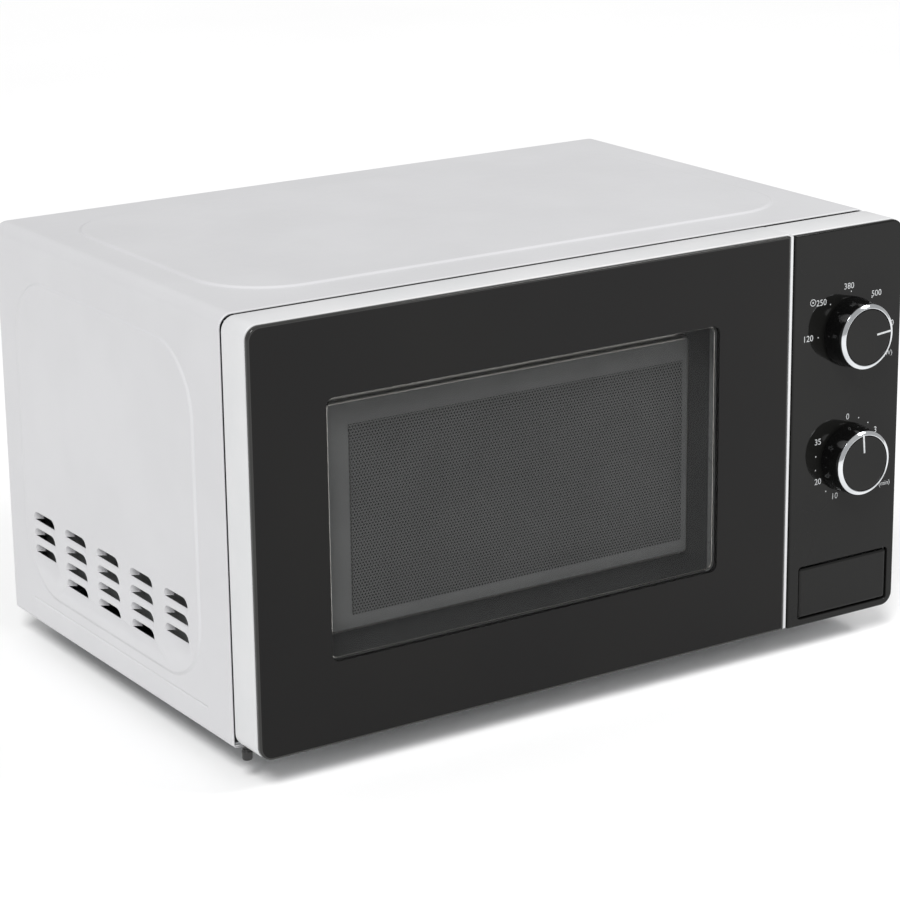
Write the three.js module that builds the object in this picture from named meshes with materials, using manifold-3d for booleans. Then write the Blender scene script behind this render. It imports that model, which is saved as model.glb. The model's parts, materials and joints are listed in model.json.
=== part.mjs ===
// A countertop microwave oven with a side-hinged glass door and two dials.
// Millimetres, +Z up, the front faces -Y. The origin is on the floor, under the middle of the oven.
import * as THREE from "three";
import { mergeVertices } from "three/addons/utils/BufferGeometryUtils.js";
import Module from "manifold-3d";

const wasm = await Module();
wasm.setup();

// ---- Driving dimensions --------------------------------------------------
const cabinetWidth = 440;
const cabinetDepth = 275;
const cabinetHeight = 242;
const footHeight = 17;
const cabinetSheet = 1; // wall of the outer cabinet, base and rear panel
const bendRadius = 9; // outside radius of the cabinet's top bends
const bottomFlange = 12; // the cabinet's sides turn in under the base
const gap = 0.3; // clearance between pieces that lie on each other
const rearStandoff = 12; // pressed box that keeps the rear off a wall

const doorDepth = 30; // from the cabinet's front edge to the glass
const doorRearGap = 1.2; // between the door's back and the cabinet
const doorBottomGap = 2;
const doorTopGap = 1;
const doorPanelGap = 1; // between the door and the control panel
const panelWidth = 81.4;
const frontCorner = 8; // outer corners of the door and panel fronts
const meetingCorner = 1; // their corners where they meet
const doorWall = 2;
const glassThickness = 3.2;
const lipWidth = 1.8; // frame edge that shows beside the glass
const windowLeft = 46; // margins from the door's edges to its window
const windowRight = 52.6;
const windowBottom = 49;
const windowTop = 46.3;
const screenMargin = 9; // from the window's edge to the screen's raised field
const screenSetback = 10.7; // raised field, behind the door's inner front
const screenStep = 4; // from the raised field back to the screen's flange

const hingeInset = 4.8; // hinge axis, from the cabinet's left side
const hingeBack = 5.5; // hinge axis, from the door's rear plane
const hingePin = 1.8; // pin radius
const hingePad = 2.5; // half width of the hinge arms
const pinPlay = 0.25; // between a pin and its bore
const hingeLevel = 10; // hinge arms, from the door's top edge

const cavityWall = 0.8;
const cavityLeftGap = 18; // from the cabinet's side to the cavity
const latchSpace = 34.6; // from the cavity to the control panel, for the latch
const cavityFloor = 22;
const cavityTopGap = 11;
const cavityRearGap = 14;
const cavityCorner = 12;
const frameSetback = 1; // front frame, behind the cabinet's front edge

const turntableClearance = 8; // from the plate's edge to the walls
const plateThickness = 4;
const wheelRadius = 6.7;
const rollerRadius = 84; // circle that the wheels run on
const motorRadius = 24.5;
const motorHeight = 14;

const powerKnobDrop = 64.5; // power dial's axis, below the cabinet's top
const knobSpacing = 76.5; // between the two dials' axes
const knobSide = 38.7; // knob axes, from the cabinet's right side
const knobRadius = 20.8;
const knobFront = 19.3;
const knobFace = 16.8;
const knobLength = 16.5;
const knobLift = 0.8; // between a knob and the panel
const shaftRadius = 3;
const buttonLeft = 8.9; // release button, from the panel's left edge
const buttonRight = 5.7; // and from its right edge
const buttonBottom = 6.5;
const buttonHeight = 30.5;
const buttonGroove = 0.9;

const louvreLength = 28;
const louvreHeight = 5.5;
const louvrePitchY = 41.3;
const louvrePitchZ = 10.2;
const louvreRear = 51; // middle of the rearmost column, from the rear edge
const louvreLowest = 35.7;
const louvreRows = [3, 4, 4, 4, 3]; // slots in each column, rear to front

const hookWidth = 6;
const hookHeight = 11;
const hookReach = 17; // behind the cabinet's front edge
const hookLift = 4;
const interlockDepth = 40; // bracket's rear edge, from the cabinet's front
const lowerHook = 62; // hooks' undersides, from the cabinet's lower edge
const upperHookDrop = 64; // and from its top

const magnetronWidth = 60;
const magnetronDepth = 92;
const magnetronHeight = 80;
const magnetronTopGap = 20;
const waveguideWidth = 18;
const coreWidth = 84;
const coreDepth = 56;
const coreHeight = 70;
const windingReach = 17; // windings beyond the core, front and rear
const shroudRim = 7; // frame round the fan's hole
const shroudGap = 1.8; // from the shroud to the walls beside it
const fanHeight = 114; // fan axis above the cabinet's lower edge
const shroudDepth = 15;
const capacitorLength = 80;
const capacitorWidth = 50;
const capacitorHeight = 30;

// ---- Places that follow from them ----------------------------------------
const halfWidth = cabinetWidth / 2;
const insideHalf = halfWidth - cabinetSheet - gap;
const doorWidth = cabinetWidth - panelWidth - doorPanelGap;
const doorTop = cabinetHeight - doorTopGap;
const doorRear = -doorRearGap;
const glassRear = -doorDepth + glassThickness;
const frameFront = glassRear + gap; // the white frame, behind the glass
const baseTop = cabinetSheet + gap + cabinetSheet;
const frameRear = frameSetback + cabinetSheet;
const rearInside = cabinetDepth - 2 * cabinetSheet - gap;
const cavityLeft = -halfWidth + cavityLeftGap;
const cavityRight = halfWidth - panelWidth - latchSpace;
const cavityTop = cabinetHeight - cavityTopGap;
const cavityFront = frameRear + gap;
const cavityRear = cabinetDepth - cavityRearGap;
const bayLeft = cavityRight + cavityWall + gap;
const bayMiddle = (bayLeft + insideHalf) / 2;
const knobX = panelWidth - knobSide;
const powerKnobHeight = cabinetHeight - powerKnobDrop;
const timerKnobHeight = powerKnobHeight - knobSpacing;
const upperHook = cabinetHeight - upperHookDrop;
const hookX = doorWidth - 10; // middle of the latch hooks, in the door
const fanRadius = (insideHalf - bayLeft) / 2 - shroudRim - shroudGap;
const overallFront = -doorDepth - knobLength;
const overallRear = cabinetDepth - gap + rearStandoff;

// ---- Finishes ------------------------------------------------------------
const finish = (color, roughness, metalness) =>
  new THREE.MeshStandardMaterial({ color, roughness, metalness });
const whitePaint = finish(0xdcdde0, 0.4, 0);
const whitePlastic = finish(0xe2e2e3, 0.45, 0);
const blackGlass = finish(0x1c1b1a, 0.08, 0);
const blackPlastic = finish(0x1a1a1a, 0.4, 0);
const greyPlastic = finish(0x8b8d8e, 0.5, 0);
const chrome = finish(0xc9ccd0, 0.12, 1);
const zincSteel = finish(0xa9adb0, 0.4, 1);
const greyEnamel = finish(0xb4b6b5, 0.35, 0);
const copperWire = finish(0xa65a2e, 0.4, 1);
const clearGlass = finish(0xcfdcd8, 0.05, 0);
const mica = finish(0xb5a488, 0.6, 0);
const rubber = finish(0x202020, 0.85, 0);
const castAluminium = finish(0xb9bcbe, 0.35, 1);

// ---- Solid helpers -------------------------------------------------------
function solidOf(geometry) {
  geometry.deleteAttribute("normal");
  geometry.deleteAttribute("uv");
  const merged = mergeVertices(geometry, 1e-4);
  return new wasm.Manifold(
    new wasm.Mesh({
      numProp: 3,
      vertProperties: merged.attributes.position.array,
      triVerts: new Uint32Array(merged.index.array),
    }),
  );
}

function geometryOf(solid) {
  const mesh = solid.getMesh();
  const geometry = new THREE.BufferGeometry();
  geometry.setAttribute("position", new THREE.BufferAttribute(mesh.vertProperties, 3));
  geometry.setIndex(new THREE.BufferAttribute(mesh.triVerts, 1));
  geometry.computeVertexNormals();
  return geometry;
}

function addNode(parent, name, solid, material, place = [0, 0, 0]) {
  const mesh = new THREE.Mesh(geometryOf(solid), material.clone());
  mesh.name = name;
  mesh.position.set(...place);
  parent.add(mesh);
  return mesh;
}

function block(x0, x1, y0, y1, z0, z1) {
  const geometry = new THREE.BoxGeometry(x1 - x0, y1 - y0, z1 - z0);
  geometry.translate((x0 + x1) / 2, (y0 + y1) / 2, (z0 + z1) / 2);
  return solidOf(geometry);
}

// A shape drawn across one axis and extruded along it, between two places:
// across x the shape's own axes are y and z, across y they are x and z.
function slab(shape, axis, from, to, curveSegments = 4) {
  const geometry = new THREE.ExtrudeGeometry(shape, {
    depth: to - from,
    bevelEnabled: false,
    curveSegments,
  });
  const x = new THREE.Vector3(1, 0, 0);
  const y = new THREE.Vector3(0, 1, 0);
  const z = new THREE.Vector3(0, 0, 1);
  const turn = new THREE.Matrix4();
  if (axis === "x") turn.makeBasis(y, z, x).setPosition(from, 0, 0);
  else if (axis === "y") turn.makeBasis(x, z, y.clone().negate()).setPosition(0, to, 0);
  else turn.setPosition(0, 0, from);
  return solidOf(geometry.applyMatrix4(turn));
}

// A rectangle with round corners. The radius is one number, or one for each
// corner: low left, low right, high right, high left.
function roundedRect(u0, u1, v0, v1, radius) {
  const [r0, r1, r2, r3] = Array.isArray(radius) ? radius : Array(4).fill(radius);
  const quarter = Math.PI / 2;
  const shape = new THREE.Shape();
  shape.moveTo(u0 + r0, v0);
  shape.lineTo(u1 - r1, v0);
  shape.absarc(u1 - r1, v0 + r1, r1, -quarter, 0);
  shape.lineTo(u1, v1 - r2);
  shape.absarc(u1 - r2, v1 - r2, r2, 0, quarter);
  shape.lineTo(u0 + r3, v1);
  shape.absarc(u0 + r3, v1 - r3, r3, quarter, 2 * quarter);
  shape.lineTo(u0, v0 + r0);
  shape.absarc(u0 + r0, v0 + r0, r0, 2 * quarter, 3 * quarter);
  return shape;
}

// The fronts are round at the oven's outer corners and nearly sharp where the
// door and the control panel meet. A wall's inside is offset by the wall.
function doorCorners(wall = 0) {
  const outer = frontCorner - wall;
  const meeting = Math.max(meetingCorner - wall, 0.4);
  return [outer, meeting, meeting, outer];
}

function panelCorners(wall = 0) {
  const [outer, meeting] = doorCorners(wall);
  return [meeting, outer, outer, meeting];
}

function rod(axis, radius, from, to, u = 0, v = 0, segments = 20) {
  const geometry = new THREE.CylinderGeometry(radius, radius, to - from, segments);
  const middle = (from + to) / 2;
  if (axis === "x") geometry.rotateZ(Math.PI / 2).translate(middle, u, v);
  else if (axis === "y") geometry.translate(u, middle, v);
  else geometry.rotateX(Math.PI / 2).translate(u, v, middle);
  return solidOf(geometry);
}

// A profile of [radius, height] points turned about the vertical axis,
// listed from the bottom of the axis round the outside to its top.
function turned(profile, segments = 24) {
  const points = profile.map(([radius, height]) => new THREE.Vector2(radius, height));
  return solidOf(new THREE.LatheGeometry(points, segments).rotateX(Math.PI / 2));
}

const joined = (first, ...others) => others.reduce((whole, next) => whole.add(next), first);
const without = (first, ...cutters) => cutters.reduce((left, next) => left.subtract(next), first);

// ---- Casing --------------------------------------------------------------
function cabinetSection() {
  const inner = bendRadius - cabinetSheet;
  const shape = new THREE.Shape();
  shape.moveTo(-halfWidth + bottomFlange, 0);
  shape.lineTo(-halfWidth + bottomFlange, cabinetSheet);
  shape.lineTo(-halfWidth + cabinetSheet, cabinetSheet);
  shape.lineTo(-halfWidth + cabinetSheet, cabinetHeight - bendRadius);
  shape.absarc(-halfWidth + bendRadius, cabinetHeight - bendRadius, inner, Math.PI, Math.PI / 2, true);
  shape.lineTo(halfWidth - bendRadius, cabinetHeight - cabinetSheet);
  shape.absarc(halfWidth - bendRadius, cabinetHeight - bendRadius, inner, Math.PI / 2, 0, true);
  shape.lineTo(halfWidth - cabinetSheet, cabinetSheet);
  shape.lineTo(halfWidth - bottomFlange, cabinetSheet);
  shape.lineTo(halfWidth - bottomFlange, 0);
  shape.lineTo(halfWidth, 0);
  shape.lineTo(halfWidth, cabinetHeight - bendRadius);
  shape.absarc(halfWidth - bendRadius, cabinetHeight - bendRadius, bendRadius, 0, Math.PI / 2);
  shape.lineTo(-halfWidth + bendRadius, cabinetHeight);
  shape.absarc(-halfWidth + bendRadius, cabinetHeight - bendRadius, bendRadius, Math.PI / 2, Math.PI);
  shape.lineTo(-halfWidth, 0);
  return shape;
}

function louvreCutters() {
  const cutters = [];
  const rows = Math.max(...louvreRows);
  louvreRows.forEach((count, column) => {
    const y = cabinetDepth - louvreRear - column * louvrePitchY;
    for (let row = 0; row < count; row++) {
      const z = louvreLowest + (rows - 1 - row) * louvrePitchZ;
      const slot = roundedRect(
        y - louvreLength / 2,
        y + louvreLength / 2,
        z,
        z + louvreHeight,
        louvreHeight / 2 - 0.1,
      );
      cutters.push(slab(slot, "x", -halfWidth - 1, -halfWidth + cabinetSheet + 1, 1));
    }
  });
  return cutters;
}

function addCasing(oven) {
  const wrap = slab(cabinetSection(), "y", 0, cabinetDepth, 4);
  addNode(oven, "outer_cabinet", without(wrap, ...louvreCutters()), whitePaint);
  addBase(oven);
  addRearPanel(oven);
}

// The floor of the casing: a plate between two upturned side flanges, with
// slots under the electronics bay and a hole for each foot's stud.
const footInsetX = 52;
const footInsetY = 48;
const footRadius = 13;
const studRadius = 2.8;
const footPlaces = [
  ["front_left_foot", -halfWidth + footInsetX, footInsetY],
  ["front_right_foot", halfWidth - footInsetX, footInsetY],
  ["rear_left_foot", -halfWidth + footInsetX, cabinetDepth - footInsetY],
  ["rear_right_foot", halfWidth - footInsetX, cabinetDepth - footInsetY],
];

function addBase(oven) {
  const low = cabinetSheet + gap;
  const front = frameRear + gap;
  const flangeHeight = 9;
  const plate = joined(
    block(-insideHalf, insideHalf, front, rearInside, low, baseTop),
    block(-insideHalf, -insideHalf + cabinetSheet, front, rearInside, low, low + flangeHeight),
    block(insideHalf - cabinetSheet, insideHalf, front, rearInside, low, low + flangeHeight),
  );
  const cutters = footPlaces.map(([, x, y]) =>
    rod("z", studRadius + gap, 0, baseTop + 1, x, y, 12),
  );
  const ventCount = 5;
  const ventPitch = 18;
  const ventFront = 66;
  const ventLength = 22;
  for (let i = 0; i < ventCount; i++) {
    const x = bayMiddle + (i - (ventCount - 1) / 2) * ventPitch;
    const vent = roundedRect(x - 2, x + 2, ventFront, ventFront + ventLength, 1.9);
    cutters.push(slab(vent, "z", 0, baseTop + 1, 1));
  }
  addNode(oven, "base_plate", without(plate, ...cutters), zincSteel);
  for (const [name, x, y] of footPlaces) addFoot(oven, name, x, y);
}

function addFoot(oven, name, x, y) {
  const profile = [
    [0, -footHeight],
    [footRadius - 3, -footHeight],
    [footRadius - 1.5, -footHeight + 1.5],
    [footRadius, -gap],
    [studRadius, -gap],
    [studRadius, baseTop],
    [0, baseTop],
  ];
  addNode(oven, name, turned(profile, 16), rubber, [x, y, 0]);
}

// The rear wall, with a hollow box pressed out of it, slots behind the fan
// and a round hole for the mains inlet.
const inletX = 22; // mains inlet, from the cabinet's right side
const inletHeight = 24;
const inletRadius = 8;
const standoffLeft = 70; // pressed box, from the cabinet's left side
const standoffWidth = 190;
const standoffBottom = 118;
const standoffHeight = 74;

function addRearPanel(oven) {
  const front = rearInside + gap;
  const rear = front + cabinetSheet;
  const low = cabinetSheet + gap;
  const left = -halfWidth + standoffLeft;
  const outer = [left, left + standoffWidth, standoffBottom, standoffBottom + standoffHeight];
  const inner = outer.map((edge, i) => edge + (i % 2 ? -cabinetSheet : cabinetSheet));
  const topCorner = bendRadius - cabinetSheet - gap;
  const sheet = slab(
    roundedRect(-insideHalf, insideHalf, low, cabinetHeight - cabinetSheet - gap, topCorner),
    "y",
    front,
    rear,
  );
  const corner = 10;
  const pressed = slab(roundedRect(...outer, corner), "y", front, overallRear);
  const hollow = slab(
    roundedRect(...inner, corner - cabinetSheet),
    "y",
    front - 1,
    overallRear - cabinetSheet,
  );
  const cutters = [
    hollow,
    rod("y", inletRadius, front - 1, rear + 1, halfWidth - inletX, inletHeight),
  ];
  const slotCount = 7; // across the round field that the fan blows through
  const slotPitch = fanRadius / 4;
  for (let i = 0; i < slotCount; i++) {
    const rise = (i - (slotCount - 1) / 2) * slotPitch;
    const half = Math.sqrt(fanRadius ** 2 - rise ** 2) - 4;
    const z = fanHeight + rise;
    const slot = roundedRect(bayMiddle - half, bayMiddle + half, z - 2, z + 2, 1.9);
    cutters.push(slab(slot, "y", front - 1, rear + 1, 1));
  }
  addNode(oven, "rear_panel", without(sheet.add(pressed), ...cutters), zincSteel);
  const bore = 3.6; // the mains cord's hole
  const flange = inletRadius + 2.5; // inside and outside the panel
  const reach = 6;
  const bush = turned(
    [
      [bore, -reach],
      [flange, -reach],
      [flange, -gap],
      [inletRadius - gap, -gap],
      [inletRadius - gap, cabinetSheet + gap],
      [flange, cabinetSheet + gap],
      [flange - 1.5, cabinetSheet + reach],
      [bore, cabinetSheet + reach],
      [bore, -reach],
    ],
    16,
  );
  const node = addNode(oven, "cord_inlet_bush", bush, blackPlastic, [
    halfWidth - inletX,
    front,
    inletHeight,
  ]);
  node.rotation.x = -Math.PI / 2;
}

// ---- Cooking cavity ------------------------------------------------------
const portWidth = 70; // waveguide's opening into the cavity
const portHeight = 32;
const magnetronRear = cabinetDepth - 88;
const magnetronFront = magnetronRear - magnetronDepth;
const magnetronTop = cabinetHeight - magnetronTopGap;
const magnetronBottom = magnetronTop - magnetronHeight;
const magnetronY = (magnetronFront + magnetronRear) / 2;
const magnetronZ = (magnetronTop + magnetronBottom) / 2;
const lampY = cabinetDepth - 50;
const lampZ = cabinetHeight - 44;
const cavityX = (cavityLeft + cavityRight) / 2;
const cavityY = (cavityFront + cavityRear) / 2;
const couplerHole = 8;
const lampHole = 9;
const wallVents = 6; // slots high in the cavity's left wall
const wallVentPitch = 9;
const wallVentFront = 60;

function addCavity(oven) {
  addFrontFrame(oven);
  const outer = roundedRect(
    cavityLeft - cavityWall,
    cavityRight + cavityWall,
    cavityFloor - cavityWall,
    cavityTop + cavityWall,
    cavityCorner + cavityWall,
  );
  const inner = roundedRect(cavityLeft, cavityRight, cavityFloor, cavityTop, cavityCorner);
  const box = slab(outer, "y", cavityFront, cavityRear + cavityWall);
  const cutters = [
    slab(inner, "y", cavityFront - 1, cavityRear),
    rod("z", couplerHole, cavityFloor - 2, cavityFloor + 1, cavityX, cavityY, 16),
    block(
      cavityRight - 1,
      cavityRight + 2,
      magnetronY - portWidth / 2,
      magnetronY + portWidth / 2,
      magnetronZ - portHeight / 2,
      magnetronZ + portHeight / 2,
    ),
    rod("x", lampHole, cavityRight - 1, cavityRight + 2, lampY, lampZ, 12),
  ];
  for (let i = 0; i < wallVents; i++) {
    const y = wallVentFront + i * wallVentPitch;
    const slot = roundedRect(y - 1.5, y + 1.5, cavityTop - 52, cavityTop - 32, 1.4);
    cutters.push(slab(slot, "x", cavityLeft - 2, cavityLeft + 1, 1));
  }
  addNode(oven, "cavity_shell", without(box, ...cutters), greyEnamel);
  addMicaCover(oven);
}

function addMicaCover(oven) {
  const margin = 8;
  const thickness = 0.6;
  const cover = slab(
    roundedRect(
      magnetronY - portWidth / 2 - margin,
      magnetronY + portWidth / 2 + margin,
      magnetronZ - portHeight / 2 - margin,
      magnetronZ + portHeight / 2 + margin,
      4,
    ),
    "x",
    cavityRight - gap - thickness,
    cavityRight - gap,
    2,
  );
  addNode(oven, "waveguide_cover", cover, mica);
}

// The flat frame behind the door: the cavity's mouth, the latch slots and
// the opening that the dials' mechanism passes through.
function addFrontFrame(oven) {
  const topCorner = bendRadius - cabinetSheet - gap;
  const sheet = slab(
    roundedRect(
      -insideHalf,
      insideHalf,
      cabinetSheet + gap,
      cabinetHeight - cabinetSheet - gap,
      topCorner,
    ),
    "y",
    frameSetback,
    frameRear,
  );
  const mouth = roundedRect(cavityLeft, cavityRight, cavityFloor, cavityTop, cavityCorner);
  const from = frameSetback - 1;
  const to = frameRear + 1;
  const panelLeft = halfWidth - panelWidth;
  const hookMiddle = -halfWidth + hookX;
  const cutters = [
    slab(mouth, "y", from, to),
    block(panelLeft + 3, halfWidth - 6, from, to, 14, cabinetHeight - 20),
  ];
  for (const z of [lowerHook, upperHook])
    cutters.push(
      block(
        hookMiddle - hookWidth / 2 - 2,
        hookMiddle + hookWidth / 2 + 2.5,
        from,
        to,
        z - 3,
        z + hookHeight + hookLift + 2,
      ),
    );
  addNode(oven, "front_frame", without(sheet, ...cutters), whitePaint);
}

// ---- Turntable -----------------------------------------------------------
function addTurntable(oven) {
  const table = new THREE.Group();
  table.position.set(cavityX, cavityY, 0);
  oven.add(table);

  const motorLow = baseTop + 1;
  const motor = joined(
    rod("z", motorRadius, motorLow, motorLow + motorHeight, 0, 0, 32),
    block(
      -motorRadius - 8,
      motorRadius + 8,
      -5,
      5,
      motorLow + motorHeight - 1.5,
      motorLow + motorHeight,
    ),
  );
  addNode(table, "turntable_motor", motor, zincSteel);

  const plateUnder = cavityFloor + 2 * (wheelRadius + gap);
  addCoupler(table, motorLow + motorHeight + gap, plateUnder);
  addRollerRing(table);
  addPlate(table, plateUnder);
}

// The coupler's three arms sit between three stubs under the glass plate.
const stubCircle = 11;
const stubRadius = 3;
const stubDepth = 4;

function addCoupler(table, low, plateUnder) {
  const armTop = plateUnder - gap;
  const armLow = armTop - 6;
  const arms = [0, 1, 2].map((i) => {
    const arm = block(0, 17, -2.5, 2.5, armLow, armTop);
    return arm.rotate([0, 0, 60 + i * 120]);
  });
  const post = rod("z", couplerHole - 2.5, low, armTop, 0, 0, 16);
  addNode(table, "turntable_coupler", joined(post, ...arms), whitePlastic);
}

function addRollerRing(table) {
  const axle = cavityFloor + gap + wheelRadius;
  const axleRadius = 1.8;
  const ringOuter = rollerRadius - 6;
  const ringInner = ringOuter - 6;
  const hubOuter = 27;
  const hubInner = 21;
  const low = axle - 2.5;
  const high = axle + 2.5;
  const band = (outer, inner, segments) =>
    without(
      rod("z", outer, low, high, 0, 0, segments),
      rod("z", inner, low - 1, high + 1, 0, 0, segments),
    );
  const spokes = [0, 1, 2].map((i) =>
    block(hubInner + 2, ringInner + 2, -3, 3, low, high).rotate([0, 0, i * 120]),
  );
  const axles = [0, 1, 2].map((i) =>
    rod("x", axleRadius, ringInner + 2, rollerRadius + 6, 0, axle, 8).rotate([0, 0, i * 120]),
  );
  const ring = joined(band(ringOuter, ringInner, 24), band(hubOuter, hubInner, 16), ...spokes, ...axles);
  addNode(table, "roller_ring", ring, whitePlastic);
  for (let i = 0; i < 3; i++) {
    const wheel = without(
      rod("x", wheelRadius, -3, 3, 0, 0, 16),
      rod("x", axleRadius + gap, -4, 4, 0, 0, 8),
    );
    const angle = (i * 2 * Math.PI) / 3;
    const node = addNode(table, "roller_wheel_" + (i + 1), wheel, whitePlastic, [
      rollerRadius * Math.cos(angle),
      rollerRadius * Math.sin(angle),
      axle,
    ]);
    node.rotation.z = angle;
  }
}

function addPlate(table, under) {
  const radius = Math.min(cavityRight - cavityLeft, cavityRear - cavityFront) / 2 - turntableClearance;
  const rise = 8; // of the sloping rim
  const rim = 16;
  const plate = turned(
    [
      [0, under],
      [radius - rim, under],
      [radius, under + rise],
      [radius, under + rise + plateThickness],
      [radius - 4, under + rise + plateThickness],
      [radius - rim - 2, under + plateThickness],
      [0, under + plateThickness],
    ],
    36,
  );
  const stubs = [0, 1, 2].map((i) => {
    const angle = (i * 2 * Math.PI) / 3;
    const x = stubCircle * Math.cos(angle);
    const y = stubCircle * Math.sin(angle);
    return rod("z", stubRadius, under - stubDepth, under + 1, x, y, 8);
  });
  addNode(table, "glass_turntable", joined(plate, ...stubs), clearGlass);
}

// ---- Microwave source ----------------------------------------------------
function addMagnetron(oven) {
  const source = new THREE.Group();
  source.position.set(bayLeft, magnetronY, magnetronZ);
  oven.add(source);
  const halfDepth = magnetronDepth / 2;
  const halfHeight = magnetronHeight / 2;
  const antennaRadius = 7;

  const guideDepth = portWidth + 16;
  const guideHeight = portHeight + 16;
  const box = (from, to, wall) => {
    const halfY = guideDepth / 2 - wall;
    const halfZ = guideHeight / 2 - wall;
    return block(from, to, -halfY, halfY, -halfZ, halfZ);
  };
  const guide = without(
    box(0, waveguideWidth, 0),
    box(-1, waveguideWidth - 1, 1),
    rod("x", antennaRadius + 2, 0, waveguideWidth + 1),
  );
  addNode(source, "waveguide", guide, zincSteel);

  const left = waveguideWidth + gap;
  const right = left + magnetronWidth;
  const wall = 1.5;
  const yoke = without(
    block(left, right, -halfDepth + 10, halfDepth - 10, -halfHeight, halfHeight),
    block(left + wall, right - wall, -halfDepth, halfDepth, wall - halfHeight, halfHeight - wall),
    rod("x", antennaRadius + 2, left - 1, left + wall + 1),
    rod("x", 14, right - wall - 1, right + 1),
  );
  addNode(source, "magnetron_yoke", yoke, zincSteel);

  const finCount = 6;
  const finInset = 8;
  const finSpan = magnetronWidth - 2 * (wall + finInset);
  const finY = halfDepth - 12;
  const finZ = halfHeight - wall - gap;
  const fins = [];
  for (let i = 0; i < finCount; i++) {
    const x = left + wall + finInset + (i * finSpan) / (finCount - 1);
    fins.push(block(x - 0.4, x + 0.4, -finY, finY, -finZ, finZ));
  }
  const anode = joined(
    rod("x", 20, left + wall + 4, right - wall - 4, 0, 0, 12),
    rod("x", antennaRadius, 3, left + wall + 6, 0, 0, 12),
    ...fins,
  );
  addNode(source, "magnetron_anode", anode, castAluminium);

  const filterBox = joined(
    block(right + gap, right + 20, -34, 34, -28, 28),
    block(right + 6, right + 14, -46, -34, -8, 8),
  );
  addNode(source, "magnetron_filter_box", filterBox, zincSteel);
}

// ---- High-voltage supply -------------------------------------------------
const transformerRear = cabinetDepth - 95;
const transformerY = transformerRear - windingReach - coreDepth / 2;

function addTransformer(oven) {
  const unit = new THREE.Group();
  unit.position.set(bayMiddle, transformerY, baseTop + gap);
  oven.add(unit);
  const leg = 13; // half width of the middle leg
  const yoke = 14; // iron above and below the windings
  const halfX = coreWidth / 2;
  const halfY = coreDepth / 2;
  const windowOut = halfX - 12;
  const core = without(
    block(-halfX, halfX, -halfY, halfY, 0, coreHeight),
    block(leg, windowOut, -halfY - 1, halfY + 1, yoke, coreHeight - yoke),
    block(-windowOut, -leg, -halfY - 1, halfY + 1, yoke, coreHeight - yoke),
  );
  const feet = block(-halfX - 4, halfX + 4, -halfY + 4, halfY - 4, 0, 3);
  addNode(unit, "transformer_core", core.add(feet), zincSteel);

  const winding = (low, high) =>
    without(
      slab(
        roundedRect(-windowOut + gap, windowOut - gap, -halfY - windingReach, halfY + windingReach, 8),
        "z",
        low,
        high,
        3,
      ),
      block(-leg - gap, leg + gap, -halfY - gap, halfY + gap, low - 1, high + 1),
    );
  const middle = coreHeight / 2 - 2;
  addNode(unit, "transformer_primary", winding(yoke + gap, middle), copperWire);
  addNode(unit, "transformer_secondary", winding(middle + 4, coreHeight - yoke - gap), copperWire);
}

function addCapacitor(oven) {
  const unit = new THREE.Group();
  const rear = rearInside - 4;
  unit.position.set(bayMiddle, rear - capacitorLength / 2, baseTop + 1 + gap);
  oven.add(unit);
  const halfX = capacitorWidth / 2;
  const halfY = capacitorLength / 2;
  const round = capacitorHeight / 2 - 0.1;
  const can = slab(roundedRect(-halfX, halfX, 0, capacitorHeight, round), "y", -halfY, halfY);
  const tabLevel = capacitorHeight / 2;
  const tabs = [-9, 9].map((x) =>
    block(x - 3, x + 3, -halfY - 7, -halfY + 1, tabLevel - 0.5, tabLevel + 0.5),
  );
  addNode(unit, "high_voltage_capacitor", joined(can, ...tabs), castAluminium);

  const arch = (grow, reach) => {
    const shape = roundedRect(-halfX - grow, halfX + grow, -round, capacitorHeight + grow, round);
    return slab(shape, "y", -reach, reach);
  };
  const strap = without(
    arch(gap + 1, 8),
    arch(gap, 9),
    block(-halfX - 2, halfX + 2, -9, 9, -2 * round, -1),
  );
  const foot = block(-halfX - 12, halfX + 12, -8, 8, -1, -gap);
  addNode(unit, "capacitor_clamp", strap.add(foot), zincSteel);

  const diode = joined(
    rod("x", 3, -10, 10, -halfY - 16, 4, 12),
    block(10, 20, -halfY - 19, -halfY - 13, 3.4, 4.6),
    rod("x", 0.8, -18, -9, -halfY - 16, 4, 6),
  );
  addNode(unit, "high_voltage_diode", diode, blackPlastic);
}

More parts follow.
